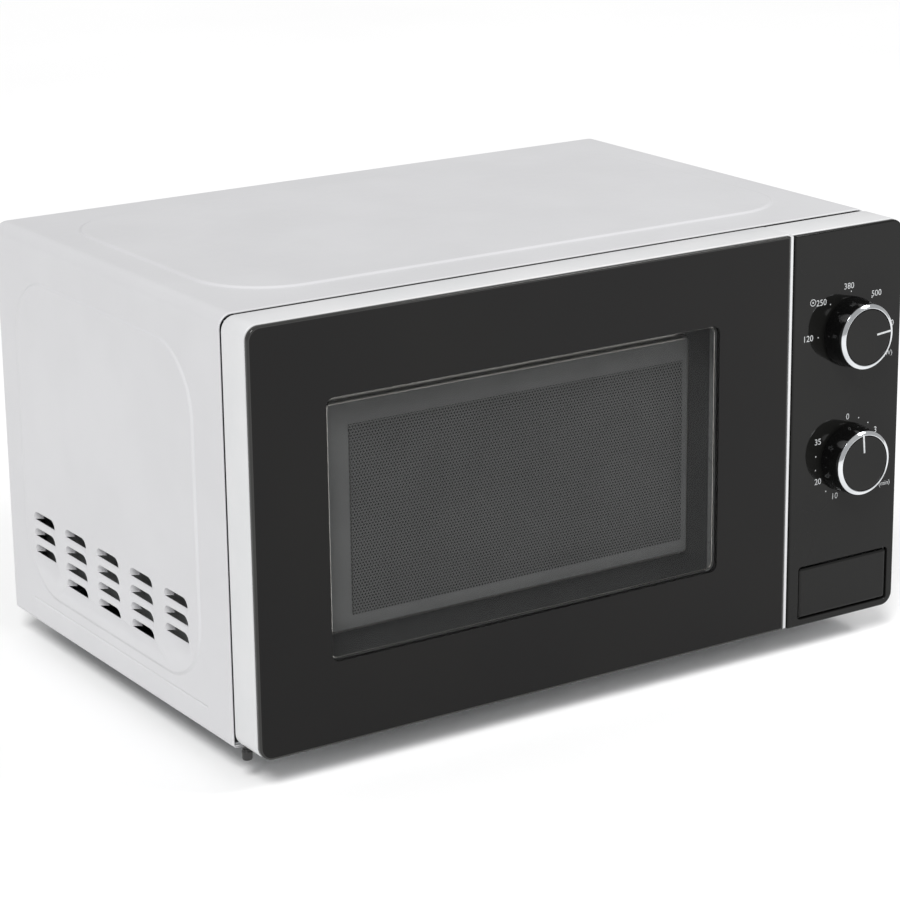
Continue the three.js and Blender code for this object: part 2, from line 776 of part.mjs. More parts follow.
// ---- Cooling fan ---------------------------------------------------------
function addFan(oven) {
  const unit = new THREE.Group();
  const shroudRear = rearInside - 2;
  unit.position.set(bayMiddle, shroudRear, fanHeight);
  oven.add(unit);
  const half = fanRadius + shroudRim;
  const shroud = without(
    slab(roundedRect(-half, half, -half, half, 8), "y", -shroudDepth, 0, 3),
    rod("y", fanRadius + 2, -shroudDepth - 1, 1, 0, 0, 24),
  );
  const bar = block(-half, half, -shroudDepth - 3, -shroudDepth, -7, 7);
  const holder = without(bar.add(shroud), rod("y", 4.5, -shroudDepth - 4, -shroudDepth + 1, 0, 0, 16));
  addNode(unit, "fan_shroud", holder, greyPlastic);

  const blades = [];
  const bladeCount = 5;
  for (let i = 0; i < bladeCount; i++) {
    const blade = block(8, fanRadius - 1, -0.7, 0.7, -13, 13);
    const pitched = blade.rotate([28, 0, 0]).translate([0, -shroudDepth / 2, 0]);
    blades.push(pitched.rotate([0, (i * 360) / bladeCount, 0]));
  }
  const trim = rod("y", fanRadius, -shroudDepth + 1, -1, 0, 0, 24);
  const hub = joined(
    rod("y", 11, -shroudDepth + 1, -1, 0, 0, 16),
    rod("y", 2.5, -shroudDepth - 20, -shroudDepth + 2, 0, 0, 12),
  );
  const bladeSet = joined(blades[0], ...blades.slice(1)).intersect(trim);
  addNode(unit, "fan_blade", hub.add(bladeSet), greyPlastic);

  const motorRear = -shroudDepth - 3 - gap;
  const stack = without(
    block(-28, 28, motorRear - 16, motorRear, -42, 24),
    rod("y", 13, motorRear - 17, motorRear + 1),
    block(-14, 14, motorRear - 17, motorRear + 1, -30, -18),
  );
  const stackNotch = block(-14, 14, motorRear - 17, motorRear + 1, -43, -30);
  addNode(unit, "fan_motor_core", stack.subtract(stackNotch).add(
    block(-6, 6, motorRear - 16, motorRear, -43, -17),
  ), zincSteel);
  const coil = without(
    block(-12, 12, motorRear - 22, motorRear, -41, -20),
    block(-6 - gap, 6 + gap, motorRear - 16 - gap, motorRear + 1, -45, -15),
  );
  addNode(unit, "fan_motor_coil", coil, copperWire);
}

// ---- Oven lamp -----------------------------------------------------------
function addLamp(oven) {
  const unit = new THREE.Group();
  unit.position.set(bayLeft, lampY, lampZ);
  oven.add(unit);
  const bulb = turned(
    [
      [0, 1],
      [5, 2.5],
      [7, 7],
      [7, 14],
      [5, 20],
      [5, 26],
      [0, 26],
    ],
    16,
  );
  const node = addNode(unit, "oven_lamp", bulb, clearGlass);
  node.rotation.y = Math.PI / 2;
  const holder = without(
    block(10, 36, -12, 12, -12, 12),
    rod("x", 9, 9, 27, 0, 0, 16),
  );
  addNode(unit, "lamp_holder", holder, whitePlastic);
}

// ---- Door ----------------------------------------------------------------
// Door pieces are placed from the door's left edge, the cabinet's front edge
// and the cabinet's lower edge.
function addDoor(oven) {
  const door = new THREE.Group();
  door.position.x = -halfWidth;
  oven.add(door);
  addDoorFrame(door);
  addDoorGlass(door);
  addDoorInside(door);
  addLatch(door);
  addHinge(door, "upper_hinge", doorTop - hingeLevel);
  addLowerHinge(door);
}

const windowRect = (grow, radius) =>
  roundedRect(
    windowLeft - grow,
    doorWidth - windowRight + grow,
    windowBottom - grow,
    cabinetHeight - windowTop + grow,
    radius,
  );

function addDoorFrame(door) {
  const body = slab(
    roundedRect(0, doorWidth, doorBottomGap, doorTop, doorCorners()),
    "y",
    frameFront,
    doorRear,
  );
  // The hinge side's rear edge is rounded, so that it clears the cabinet.
  const edge = 2.5;
  const edgeShape = new THREE.Shape();
  edgeShape.moveTo(-1, doorRear - edge);
  edgeShape.lineTo(0, doorRear - edge);
  edgeShape.absarc(edge, doorRear - edge, edge, Math.PI, Math.PI / 2, true);
  edgeShape.lineTo(edge, doorRear + 1);
  edgeShape.lineTo(-1, doorRear + 1);
  const roundedEdge = slab(edgeShape, "z", 0, cabinetHeight);

  const floor = frameFront + 2; // the wall behind the glass
  const pocket = slab(
    roundedRect(
      12,
      doorWidth - doorWall,
      doorBottomGap + doorWall,
      doorTop - doorWall,
      doorCorners(doorWall),
    ),
    "y",
    floor,
    doorRear + 1,
  );
  const pinX = hingeInset;
  const pinY = doorRear - hingeBack;
  const swingRoom = hingePad + 1.1; // round the pin, for the fixed arm
  const armLow = doorTop - hingeLevel;
  const armHole = block(
    pinX - swingRoom,
    30,
    pinY - swingRoom,
    doorRear + 1,
    armLow - gap,
    armLow + cabinetSheet + gap,
  );
  const lip = block(
    doorWidth - lipWidth,
    doorWidth,
    -doorDepth + 0.2,
    frameFront + 1,
    doorBottomGap + 0.4,
    doorTop - 0.8,
  );
  const frame = without(
    body.add(lip),
    roundedEdge,
    pocket,
    slab(windowRect(2, 4), "y", frameFront - 1, floor + 1),
    armHole,
    rod("z", hingePin + pinPlay, armLow - 10, armLow, pinX, pinY, 12),
    rod("z", hingePin + pinPlay, 0, doorBottomGap + 10, pinX, pinY, 12),
  );
  addNode(door, "door_frame", frame, whitePlastic);
}

function addDoorGlass(door) {
  const glass = slab(
    roundedRect(0.2, doorWidth - lipWidth - gap, doorBottomGap, doorTop - 0.4, doorCorners()),
    "y",
    -doorDepth,
    glassRear,
  );
  addNode(door, "door_glass", glass, blackGlass);
}

// Behind the glass: the choke channel with the perforated screen, a clear
// film and the plastic cover that faces the cavity.
function addDoorInside(door) {
  const left = 22;
  const right = doorWidth - 21;
  const low = doorBottomGap + 8;
  const high = doorTop - 8;
  const front = frameFront + 2 + gap;
  const chokeWindow = 9; // the choke's opening, round the window
  const filmThickness = 0.6;
  const coverFront = doorRear - 2.4;
  const filmFront = coverFront - gap - filmThickness;
  const chokeRear = filmFront - gap;
  const screenSheet = 0.8;
  const screenFront = front + screenSetback;
  const flangeFront = screenFront + screenStep;

  const gutter = without(
    slab(roundedRect(left + 2, right - 2, low + 2, high - 2, 4), "y", front + 1, chokeRear + 1),
    slab(windowRect(chokeWindow + 3, 4), "y", front, chokeRear + 2),
  );
  const choke = without(
    slab(roundedRect(left, right, low, high, 5), "y", front, chokeRear),
    slab(windowRect(chokeWindow, 4), "y", front - 1, chokeRear + 1),
    gutter,
  );
  addNode(door, "door_choke_panel", choke, greyEnamel);

  // The screen's field is pressed forward out of its flange.
  const hollowRect = windowRect(-screenMargin - screenSheet, 3 - screenSheet);
  const screen = without(
    joined(
      slab(windowRect(chokeWindow - gap, 4 - gap), "y", flangeFront, flangeFront + screenSheet),
      slab(windowRect(-screenMargin, 3), "y", screenFront, flangeFront + screenSheet / 2),
    ),
    slab(hollowRect, "y", screenFront + screenSheet, flangeFront + screenSheet + 1),
  );
  addNode(door, "door_screen", screen, greyEnamel);
  const film = slab(windowRect(chokeWindow + 1, 4), "y", filmFront, filmFront + filmThickness);
  addNode(door, "door_inner_film", film, clearGlass);

  const armLevel = doorTop - hingeLevel;
  const cutters = [
    slab(windowRect(4, 6), "y", coverFront - 1, doorRear + 1),
    block(10, 31, coverFront - 1, doorRear + 1, armLevel - 1, armLevel + cabinetSheet + 1),
  ];
  for (const z of [lowerHook, upperHook]) cutters.push(hookSlot(z, coverFront - 1, doorRear + 1));
  const cover = without(
    slab(
      roundedRect(
        12 + gap,
        doorWidth - doorWall - gap,
        doorBottomGap + doorWall + gap,
        doorTop - doorWall - gap,
        doorCorners(doorWall + gap),
      ),
      "y",
      coverFront,
      doorRear,
    ),
    ...cutters,
  );
  addNode(door, "door_inner_cover", cover, blackPlastic);
}

const hookSlot = (z, from, to) =>
  block(
    hookX - hookWidth / 2 - 1,
    hookX + hookWidth / 2 + 1,
    from,
    to,
    z - 1.5,
    z + hookHeight + hookLift + 1,
  );

// Two hooks on one bar, which a small spring holds down.
function addLatch(door) {
  const barFront = -17;
  const barRear = -11;
  const left = hookX - hookWidth / 2;
  const right = hookX + hookWidth / 2;
  const barTop = upperHook + hookHeight;
  const hooks = [lowerHook, upperHook].map((z) =>
    joined(
      block(left, right, barRear - 1, hookReach, z + 4, z + hookHeight),
      block(left, right, hookReach - 6, hookReach, z, z + 5),
    ),
  );
  const latch = joined(block(left, right, barFront, barRear, lowerHook, barTop), ...hooks);
  addNode(door, "door_latch", latch, whitePlastic);

  const springRadius = 2.2;
  const springLow = barTop + hookLift + 1;
  const barMiddle = (barFront + barRear) / 2;
  const spring = rod("z", springRadius, springLow, springLow + 12, hookX, barMiddle, 12);
  addNode(door, "latch_spring_guide", spring, zincSteel);
}

// A cranked arm, fixed to the front frame, with a pin that the door turns on.
// It leaves the pin sideways, so that the opening door swings round it.
const armNear = 8; // the arm's rearward leg, from the pin
const armFar = 15;
const hingeFlange = 14; // upright part that is fixed to the front frame

function armShape() {
  const pinX = hingeInset;
  const pinY = doorRear - hingeBack;
  const shape = new THREE.Shape();
  shape.moveTo(pinX, pinY - hingePad);
  shape.lineTo(pinX + armFar, pinY - hingePad);
  shape.lineTo(pinX + armFar, frameSetback - gap);
  shape.lineTo(pinX + armNear, frameSetback - gap);
  shape.lineTo(pinX + armNear, pinY + hingePad);
  shape.lineTo(pinX, pinY + hingePad);
  shape.absarc(pinX, pinY, hingePad, Math.PI / 2, 1.5 * Math.PI);
  return shape;
}

function addHinge(door, name, level) {
  const pinX = hingeInset;
  const pinY = doorRear - hingeBack;
  const flange = block(
    pinX + armNear,
    pinX + armFar,
    frameSetback - gap - cabinetSheet,
    frameSetback - gap,
    level - hingeFlange,
    level + cabinetSheet,
  );
  const hinge = joined(
    slab(armShape(), "z", level, level + cabinetSheet),
    flange,
    rod("z", hingePin, level - 8, level + 0.5, pinX, pinY, 12),
  );
  addNode(door, name, hinge, zincSteel);
}

// The lower arm lies under the door, with a rounded lug below its pin.
function addLowerHinge(door) {
  const pinX = hingeInset;
  const pinY = doorRear - hingeBack;
  const high = doorBottomGap - gap;
  const low = high - cabinetSheet;
  const lugLength = 5.5;
  const hinge = joined(
    slab(armShape(), "z", low, high),
    block(
      pinX + armNear,
      pinX + armFar,
      frameSetback - gap - cabinetSheet,
      frameSetback - gap,
      low,
      low + hingeFlange,
    ),
    rod("z", hingePin, low + 0.5, high + 8, pinX, pinY, 12),
    rod("z", 2.9, low - lugLength, low + 0.5, pinX, pinY, 16),
  );
  addNode(door, "lower_hinge", hinge, blackPlastic);
}

// ---- Control panel -------------------------------------------------------
// Panel pieces are placed from the panel's left edge.
function addControlPanel(oven) {
  const panel = new THREE.Group();
  panel.position.x = halfWidth - panelWidth;
  oven.add(panel);
  const low = doorBottomGap - 0.5;
  const high = doorTop - 0.5;
  const aperture = [
    buttonLeft - buttonGroove,
    panelWidth - buttonRight + buttonGroove,
    buttonBottom - buttonGroove,
    buttonBottom + buttonHeight + 1.5 * buttonGroove,
  ];
  const holes = (from, to) => [
    slab(roundedRect(...aperture, 2), "y", from, to, 2),
    rod("y", shaftRadius + 1, from, to, knobX, powerKnobHeight, 16),
    rod("y", shaftRadius + 1, from, to, knobX, timerKnobHeight, 16),
  ];
  const axleEnd = leverLeft + leverWidth + 1;
  const leverAxle = rod("x", leverPin, doorWall - 0.5, axleEnd, leverPivotY, leverPivotZ, 12);
  const frame = without(
    slab(roundedRect(0, panelWidth, low, high, panelCorners()), "y", frameFront, doorRear),
    slab(
      roundedRect(
        doorWall,
        panelWidth - doorWall,
        low + doorWall,
        high - doorWall,
        panelCorners(doorWall),
      ),
      "y",
      frameFront + 2,
      doorRear + 1,
    ),
    ...holes(frameFront - 1, frameFront + 3),
  );
  addNode(panel, "control_panel_frame", frame.add(leverAxle), whitePlastic);
  const inlay = without(
    slab(
      roundedRect(0.2, panelWidth - 0.2, low, high - 0.4, panelCorners()),
      "y",
      -doorDepth,
      glassRear,
    ),
    ...holes(-doorDepth - 1, frameFront),
  );
  addNode(panel, "control_panel_inlay", inlay, blackGlass);

  addKnob(panel, "power", powerKnobHeight);
  addKnob(panel, "timer", timerKnobHeight);
  addReleaseButton(panel);
  addReleaseLever(panel);
  addMechanism(panel);
}

const selectorFront = -10; // front of the mechanism behind the knobs
const timerRear = 36;

function addKnob(panel, name, height) {
  const tip = knobLength;
  const bore = shaftRadius + gap;
  const boreDepth = 11;
  const seat = tip - 1.9; // step that the chrome ring sits on
  const knob = turned([
    [0, boreDepth],
    [bore, boreDepth],
    [bore, knobLift],
    [knobRadius, knobLift],
    [knobFront, seat - gap],
    [knobFace - 0.2, seat - gap],
    [knobFace - 0.2, tip - gap],
    [0, tip - gap],
  ]);
  const ring = turned([
    [knobFace + 0.1, seat],
    [knobFront, seat],
    [knobFront, seat + gap],
    [knobFace + 0.4, tip],
    [knobFace + 0.1, tip],
    [knobFace + 0.1, seat],
  ]);
  const place = [knobX, -doorDepth, height];
  addNode(panel, name + "_knob", knob, blackPlastic, place).rotation.x = Math.PI / 2;
  addNode(panel, name + "_knob_ring", ring, chrome, place).rotation.x = Math.PI / 2;
  const shaft = rod("y", shaftRadius, -doorDepth - 10, selectorFront - gap, 0, 0, 16);
  const flat = block(-5, 5, -doorDepth - 11, -doorDepth - 1, shaftRadius - 1, 5);
  addNode(panel, name + "_shaft", shaft.subtract(flat), zincSteel, [knobX, 0, height]);
}

const buttonDepth = 9;
const leverWidth = 9;
const leverLeft = buttonLeft - 4; // lever's left side, from the panel's left edge

function addReleaseButton(panel) {
  const front = -doorDepth + 0.4;
  const right = panelWidth - buttonRight;
  const top = buttonBottom + buttonHeight;
  const face = roundedRect(buttonLeft, right, buttonBottom, top, 1.5);
  const cap = slab(face, "y", front, front + buttonDepth, 2);
  const hollow = block(
    buttonLeft + 2,
    right - 2,
    front + 2.5,
    front + buttonDepth + 1,
    buttonBottom + 2,
    top - 2,
  );
  const post = block(buttonLeft, buttonLeft + 5, front + 2, -11, buttonBottom + 4, buttonBottom + 12);
  addNode(panel, "door_release_button", cap.subtract(hollow).add(post), blackGlass);
}

// A bell crank: the button's post pushes its lower arm back, and its rear
// arm lifts the lower latch hook.
const leverPivotY = -5;
const leverPivotZ = 48;
const leverPin = 1.5;

function addReleaseLever(panel) {
  const left = leverLeft;
  const catchLeft = hookX - doorWidth - doorPanelGap - 4; // under the lower latch hook
  const lever = joined(
    rod("x", 4, left, left + leverWidth, leverPivotY, leverPivotZ, 16),
    block(left, left + leverWidth, -10.5, -7, buttonBottom + 5, leverPivotZ),
    block(left, left + leverWidth, leverPivotY, 14, leverPivotZ - 2, leverPivotZ + 2),
    block(catchLeft, left + 1, 6, 14, leverPivotZ - 2, leverPivotZ + 2),
  );
  const bore = rod("x", leverPin + pinPlay, left - 1, left + leverWidth + 1, leverPivotY, leverPivotZ, 12);
  addNode(panel, "release_lever", lever.subtract(bore), whitePlastic);
}

function addMechanism(panel) {
  const unit = (half, halfHeight, rear, height) =>
    block(knobX - half, knobX + half, selectorFront, rear, height - halfHeight, height + halfHeight);
  addNode(panel, "timer_unit", unit(27, 29, timerRear, timerKnobHeight), blackPlastic);
  addNode(panel, "power_selector", unit(22, 22, 24, powerKnobHeight), greyPlastic);
  const bell = turned(
    [
      [0, 0],
      [3, 0],
      [3, 6],
      [17, 0],
      [18, 0],
      [17, 4],
      [8, 9],
      [0, 10],
    ],
    20,
  );
  const place = [knobX, timerRear + gap, timerKnobHeight];
  addNode(panel, "timer_bell", bell, chrome, place).rotation.x = -Math.PI / 2;
  addInterlock(panel);
}

// The bracket that the hooks enter, with a switch behind each hook.
function addInterlock(panel) {
  const middle = hookX - doorWidth - doorPanelGap;
  const front = frameRear + gap;
  const rear = interlockDepth;
  const low = lowerHook - 8;
  const high = upperHook + 26;
  const wall = 1.6;
  const half = 9;
  const rails = [-half, half - wall].map((x) =>
    block(middle + x, middle + x + wall, front, rear, low, high),
  );
  const ties = [low, (low + high) / 2, high - wall].map((z) =>
    block(middle - half, middle + half, front + 16, rear, z, z + wall),
  );
  const ledges = [lowerHook, upperHook].map((z) =>
    block(middle - half, middle + half, front, front + 5, z - 4, z - 1),
  );
  addNode(panel, "interlock_bracket", joined(...rails, ...ties, ...ledges), blackPlastic);
  const inside = half - wall - gap;
  for (const [name, z] of [["lower_door_switch", lowerHook], ["upper_door_switch", upperHook]]) {
    const body = joined(
      block(middle - inside, middle + inside, hookReach + 4, rear - 1, z - 2, z + 14),
      block(middle - 1.5, middle + 1.5, hookReach + 2, hookReach + 5, z + 5, z + 9),
    );
    addNode(panel, name, body, blackPlastic);
  }
}

// ---- The oven ------------------------------------------------------------
const oven = new THREE.Group();
oven.position.set(0, -(overallFront + overallRear) / 2, footHeight);
addCasing(oven);
addCavity(oven);
addTurntable(oven);
addMagnetron(oven);
addTransformer(oven);
addCapacitor(oven);
addFan(oven);
addLamp(oven);
addDoor(oven);
addControlPanel(oven);

const group = new THREE.Group();
group.add(oven);

export default group;
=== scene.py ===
# A countertop microwave oven: the looks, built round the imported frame.
# Sizes inside each piece are in millimetres, and putPiece turns them to metres.
import json
import math
import bmesh
import bpy
from mathutils import Matrix, Vector

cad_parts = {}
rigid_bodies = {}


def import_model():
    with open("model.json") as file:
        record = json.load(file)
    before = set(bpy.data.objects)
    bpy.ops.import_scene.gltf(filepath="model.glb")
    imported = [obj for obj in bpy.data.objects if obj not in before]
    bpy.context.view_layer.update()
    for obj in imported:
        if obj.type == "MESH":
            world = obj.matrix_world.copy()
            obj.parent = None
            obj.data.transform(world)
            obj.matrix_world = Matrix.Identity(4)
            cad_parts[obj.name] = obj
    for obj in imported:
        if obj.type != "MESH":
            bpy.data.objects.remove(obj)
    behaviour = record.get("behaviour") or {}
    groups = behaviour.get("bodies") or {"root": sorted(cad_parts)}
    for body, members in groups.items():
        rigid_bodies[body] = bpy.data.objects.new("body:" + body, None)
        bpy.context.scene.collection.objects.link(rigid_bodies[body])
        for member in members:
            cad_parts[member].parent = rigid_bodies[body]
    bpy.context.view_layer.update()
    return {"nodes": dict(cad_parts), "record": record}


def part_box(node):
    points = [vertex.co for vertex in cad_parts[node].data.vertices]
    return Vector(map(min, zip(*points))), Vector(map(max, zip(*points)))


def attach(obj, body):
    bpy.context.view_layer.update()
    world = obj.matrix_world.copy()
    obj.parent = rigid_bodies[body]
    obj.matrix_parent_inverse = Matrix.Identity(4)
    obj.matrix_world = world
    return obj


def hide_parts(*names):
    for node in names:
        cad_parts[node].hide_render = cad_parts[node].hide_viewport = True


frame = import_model()
print("frame loaded:", len(frame["nodes"]), "nodes")

mm = 0.001  # metres in a millimetre
scene = bpy.context.scene
scene.view_settings.view_transform = "Standard"


# ---- places that come from the frame, in millimetres
def boxOf(node):
    low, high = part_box(node)
    return low / mm, high / mm


cabinetLow, cabinetHigh = boxOf("outer_cabinet")
frameLow, frameHigh = boxOf("door_frame")
glassLow, glassHigh = boxOf("door_glass")
screenLow, screenHigh = boxOf("door_screen")
panelLow, panelHigh = boxOf("control_panel_inlay")
buttonLow, buttonHigh = boxOf("door_release_button")
latchLow, latchHigh = boxOf("door_latch")
armHigh = boxOf("upper_hinge")[1]
lugLow, lugHigh = boxOf("lower_hinge")
hingePin = Vector((lugLow.x + 2.9, -126.8, 0))  # the door's axis
leverPin = (0, -125.1, 65)


# A rectangle is (left, right, low, high) in the plane that it lies in.
def faceRect(low, high):
    return low.x, high.x, low.z, high.z


def grown(rect, by):
    return rect[0] - by, rect[1] + by, rect[2] - by, rect[3] + by


window = grown(faceRect(screenLow, screenHigh), -8.7)  # the screen's flange reaches past it


# ---- materials
def toLinear(hexColour):
    channels = [int(hexColour[i : i + 2], 16) / 255 for i in (1, 3, 5)]
    linear = [c / 12.92 if c <= 0.04045 else ((c + 0.055) / 1.055) ** 2.4 for c in channels]
    return (*linear, 1.0)


def addNode(tree, kind, settings=None, inputs=None, links=None, ramp=None):
    node = tree.nodes.new(kind)
    for name, value in (settings or {}).items():
        setattr(node, name, value)
    for name, value in (inputs or {}).items():
        node.inputs[name].default_value = value
    for name, source in (links or {}).items():
        tree.links.new(source, node.inputs[name])
    for element, (position, colour) in zip(node.color_ramp.elements if ramp else (), ramp or ()):
        element.position = position
        element.color = toLinear(colour)
    return node


# Patterns are written as (kind, settings, inputs, output), with sizes in millimetres. A real
# grain finer than about 0.3 mm wouldn't show, so it is drawn as coarse as it needs to show.
def cloudy(size, detail=3, roughness=0.5):
    inputs = {"Scale": 1 / (size * mm), "Detail": detail, "Roughness": roughness}
    return "ShaderNodeTexNoise", {}, inputs, "Fac"


def celled(size, output):
    return "ShaderNodeTexVoronoi", {}, {"Scale": 1 / (size * mm)}, output


# The tint is a pattern and its dark and light ends, the gloss a pattern and its two
# roughnesses, and the relief a pattern, its depth in millimetres and its strength.
def makeMaterial(name, shaderInputs, tint, gloss=None, relief=None, span=(0.35, 0.65)):
    material = bpy.data.materials.new(name)
    material.use_nodes = True
    tree = material.node_tree
    shader = tree.nodes["Principled BSDF"]
    for socket, value in shaderInputs.items():
        shader.inputs[socket].default_value = value
    place = addNode(tree, "ShaderNodeTexCoord").outputs["Object"]

    def drawn(pattern):
        kind, settings, inputs, output = pattern
        return addNode(tree, kind, settings, inputs, {"Vector": place}).outputs[output]

    pattern, dark, light = tint
    ends = ((span[0], dark), (span[1], light))
    ramp = addNode(tree, "ShaderNodeValToRGB", links={"Fac": drawn(pattern)}, ramp=ends)
    tree.links.new(ramp.outputs["Color"], shader.inputs["Base Color"])
    if gloss:
        pattern, low, high = gloss
        inputs = {"From Min": 0.3, "From Max": 0.7, "To Min": low, "To Max": high}
        spread = addNode(tree, "ShaderNodeMapRange", None, inputs, {"Value": drawn(pattern)})
        tree.links.new(spread.outputs["Result"], shader.inputs["Roughness"])
    if relief:
        pattern, depth, strength = relief
        inputs = {"Strength": strength, "Distance": depth * mm}
        bump = addNode(tree, "ShaderNodeBump", None, inputs, {"Height": drawn(pattern)})
        tree.links.new(bump.outputs["Normal"], shader.inputs["Normal"])
    return material


# Moulded ABS: even and satin, with a fine spark-eroded grain.
def mouldedAbs(name, dark, light, rough, grain=0.5):
    return makeMaterial(
        name,
        {"IOR": 1.53},
        tint=(cloudy(40, 2), dark, light),
        gloss=(cloudy(9), rough - 0.04, rough + 0.05),
        relief=(cloudy(grain, 2), 0.01, 0.35),
    )


# Tempered glass: a mirror-smooth face with slow waves, over the tone printed behind it.
def temperedGlass(name, dark, light, specular=0.2, alpha=1.0):
    return makeMaterial(
        name,
        {"IOR": 1.52, "Specular IOR Level": specular, "Alpha": alpha},
        tint=(cloudy(90, 2), dark, light),
        gloss=(cloudy(30, 4), 0.035, 0.06),
        relief=(cloudy(130, 1), 0.02, 0.25),
    )


# Paint on the screen behind the glass: flat mid grey over the punched sheet.
def screenPaint(name, dark, light):
    return makeMaterial(
        name,
        {"IOR": 1.5},
        tint=(cloudy(30, 2), dark, light),
        gloss=(cloudy(6), 0.3, 0.4),
        relief=(cloudy(1.5, 2), 0.01, 0.3),
    )


wireLayers = (
    "ShaderNodeTexWave",
    {"bands_direction": "Z"},
    {"Scale": 1 / (1.1 * 20 * mm) * 3.14, "Distortion": 0.6, "Detail": 1.0},  # 1.1 mm wire
    "Fac",
)

finish = {
    # A soft gloss over a faint orange peel.
    "white_paint": makeMaterial(
        "powder-coated steel, sprayed",
        {"IOR": 1.5},
        tint=(cloudy(60, 2), "#c8c8ca", "#cbcbcd"),
        gloss=(cloudy(14), 0.28, 0.36),
        relief=(cloudy(2.2, 2), 0.012, 0.5),
    ),
    "white_plastic": mouldedAbs("white ABS, moulded", "#cfd0d1", "#d4d4d5", 0.36),
    "black_glass": temperedGlass("tempered glass, printed black", "#0b0a0a", "#0e0d0c"),
    # The window in the print has a smoke tint only, so the screen shows through.
    "window_glass": temperedGlass("tempered glass, smoked", "#1e1e1e", "#222222", alpha=0.24),
    # The rounded rim of the glass is its ground edge, drawn lighter than the face as a painted reflection
    # of the light line along it.
    "glass_edge": temperedGlass("tempered glass, ground edge with painted sheen", "#2c2c2b", "#343433", 0.3),
    # Acrylic polished like the glass, so one dark gloss runs over door and panel.
    "panel_gloss": temperedGlass("acrylic, printed black", "#131313", "#171716"),
    "black_plastic": mouldedAbs("black ABS, moulded", "#101010", "#161616", 0.34),
    "knob_gloss": mouldedAbs("black ABS, polished mould", "#060606", "#0a0a0a", 0.1, 3),
    "grey_plastic": mouldedAbs("grey nylon, moulded", "#84878a", "#8f9294", 0.5),
    # Bright plate over plastic, with faint polishing haze.
    "chrome_plate": makeMaterial(
        "chrome plate, polished",
        {"Metallic": 1.0},
        tint=(cloudy(12, 2), "#d3d6d9", "#e4e6e8"),
        gloss=(cloudy(3), 0.07, 0.13),
        relief=(cloudy(1.2, 2), 0.004, 0.3),
    ),
    # Spangled crystals and a rolled haze.
    "zinc_steel": makeMaterial(
        "sheet steel, zinc plated",
        {"Metallic": 1.0},
        tint=(celled(6, "Color"), "#aeb1b3", "#babdbf"),
        gloss=(cloudy(6), 0.34, 0.48),
        relief=(cloudy(1.6, 3), 0.01, 0.4),
        span=(0.2, 0.8),
    ),
    # Vitreous and glassy, with fine darker flecks.
    "grey_enamel": makeMaterial(
        "grey enamel, fired",
        {"IOR": 1.55},
        tint=(cloudy(1.3, 4, 0.6), "#8f9190", "#a3a5a4"),
        gloss=(cloudy(10), 0.26, 0.36),
        relief=(cloudy(3, 2), 0.02, 0.4),
        span=(0.38, 0.56),
    ),
    "screen_paint": screenPaint("grey enamel, sprayed on punched steel", "#757676", "#7b7c7c"),
    # The flange is the same enamel drawn darker: painted shade for the band just inside the window's edge.
    "screen_flange": screenPaint("grey enamel, darkened on the flange as painted shade", "#474848", "#4b4c4c"),
    # Bright metal standing in for the light lines along the screen's step and round the window: a painted
    # highlight.
    "bright_edge": makeMaterial(
        "bright metal, painted highlight on edges",
        {"Metallic": 1.0},
        tint=(cloudy(20, 2), "#d9d6d0", "#e6e4df"),
        gloss=(cloudy(5), 0.16, 0.22),
        relief=(cloudy(2, 2), 0.004, 0.3),
    ),
    # Lacquered wire in even layers, ridged and reddish; the tint follows the ridges, darker in the grooves
    # as painted shade and lighter on the crests as painted highlight.
    "copper_wire": makeMaterial(
        "copper wire, enamelled and wound",
        {"Metallic": 1.0, "Coat Weight": 0.5, "Coat Roughness": 0.2},
        tint=(wireLayers, "#6e3418", "#b8683a"),
        gloss=(cloudy(5), 0.28, 0.42),
        relief=(wireLayers, 0.3, 0.8),
        span=(0.1, 0.9),
    ),
    # Clear, and greenish where it is thick.
    "clear_glass": makeMaterial(
        "soda-lime glass, pressed",
        {"IOR": 1.5, "Transmission Weight": 0.9},
        tint=(cloudy(50, 2), "#dfeae6", "#eef4f1"),
        gloss=(cloudy(12), 0.02, 0.07),
        relief=(cloudy(5, 2), 0.05, 0.3),
    ),
    # Silky, with overlapping flakes.
    "mica": makeMaterial(
        "mica, pressed sheet",
        {"IOR": 1.58},
        tint=(celled(7, "Color"), "#a08f70", "#c6b795"),
        gloss=(cloudy(3), 0.3, 0.5),
        relief=(celled(7, "Distance"), 0.04, 0.4),
        span=(0.2, 0.8),
    ),
    # Dull black with a dusty bloom.
    "rubber": makeMaterial(
        "natural rubber, moulded",
        {"IOR": 1.52},
        tint=(cloudy(8, 3), "#191919", "#262625"),
        gloss=(cloudy(4), 0.7, 0.85),
        relief=(cloudy(0.8, 2), 0.03, 0.6),
    ),
    # A grainy satin skin.
    "cast_aluminium": makeMaterial(
        "aluminium, die cast",
        {"Metallic": 1.0},
        tint=(cloudy(14, 3), "#a9acae", "#c4c6c8"),
        gloss=(cloudy(2.5), 0.3, 0.45),
        relief=(cloudy(0.9, 3), 0.02, 0.6),
    ),
    # A thin matt film.
    "ink": makeMaterial(
        "white ink, screen printed",
        {"IOR": 1.45},
        tint=(cloudy(2, 2), "#b9bbbc", "#cfd1d2"),
        gloss=(cloudy(1), 0.45, 0.6),
        relief=(cloudy(0.3, 2), 0.004, 0.4),
    ),
}
print("materials:", len(finish))


# ---- mesh helpers
# Faces that fill a flat outline are marked, and stay flat when the rest is smoothed.
def startMesh():
    bm = bmesh.new()
    bm.faces.layers.int.new("flat")
    return bm


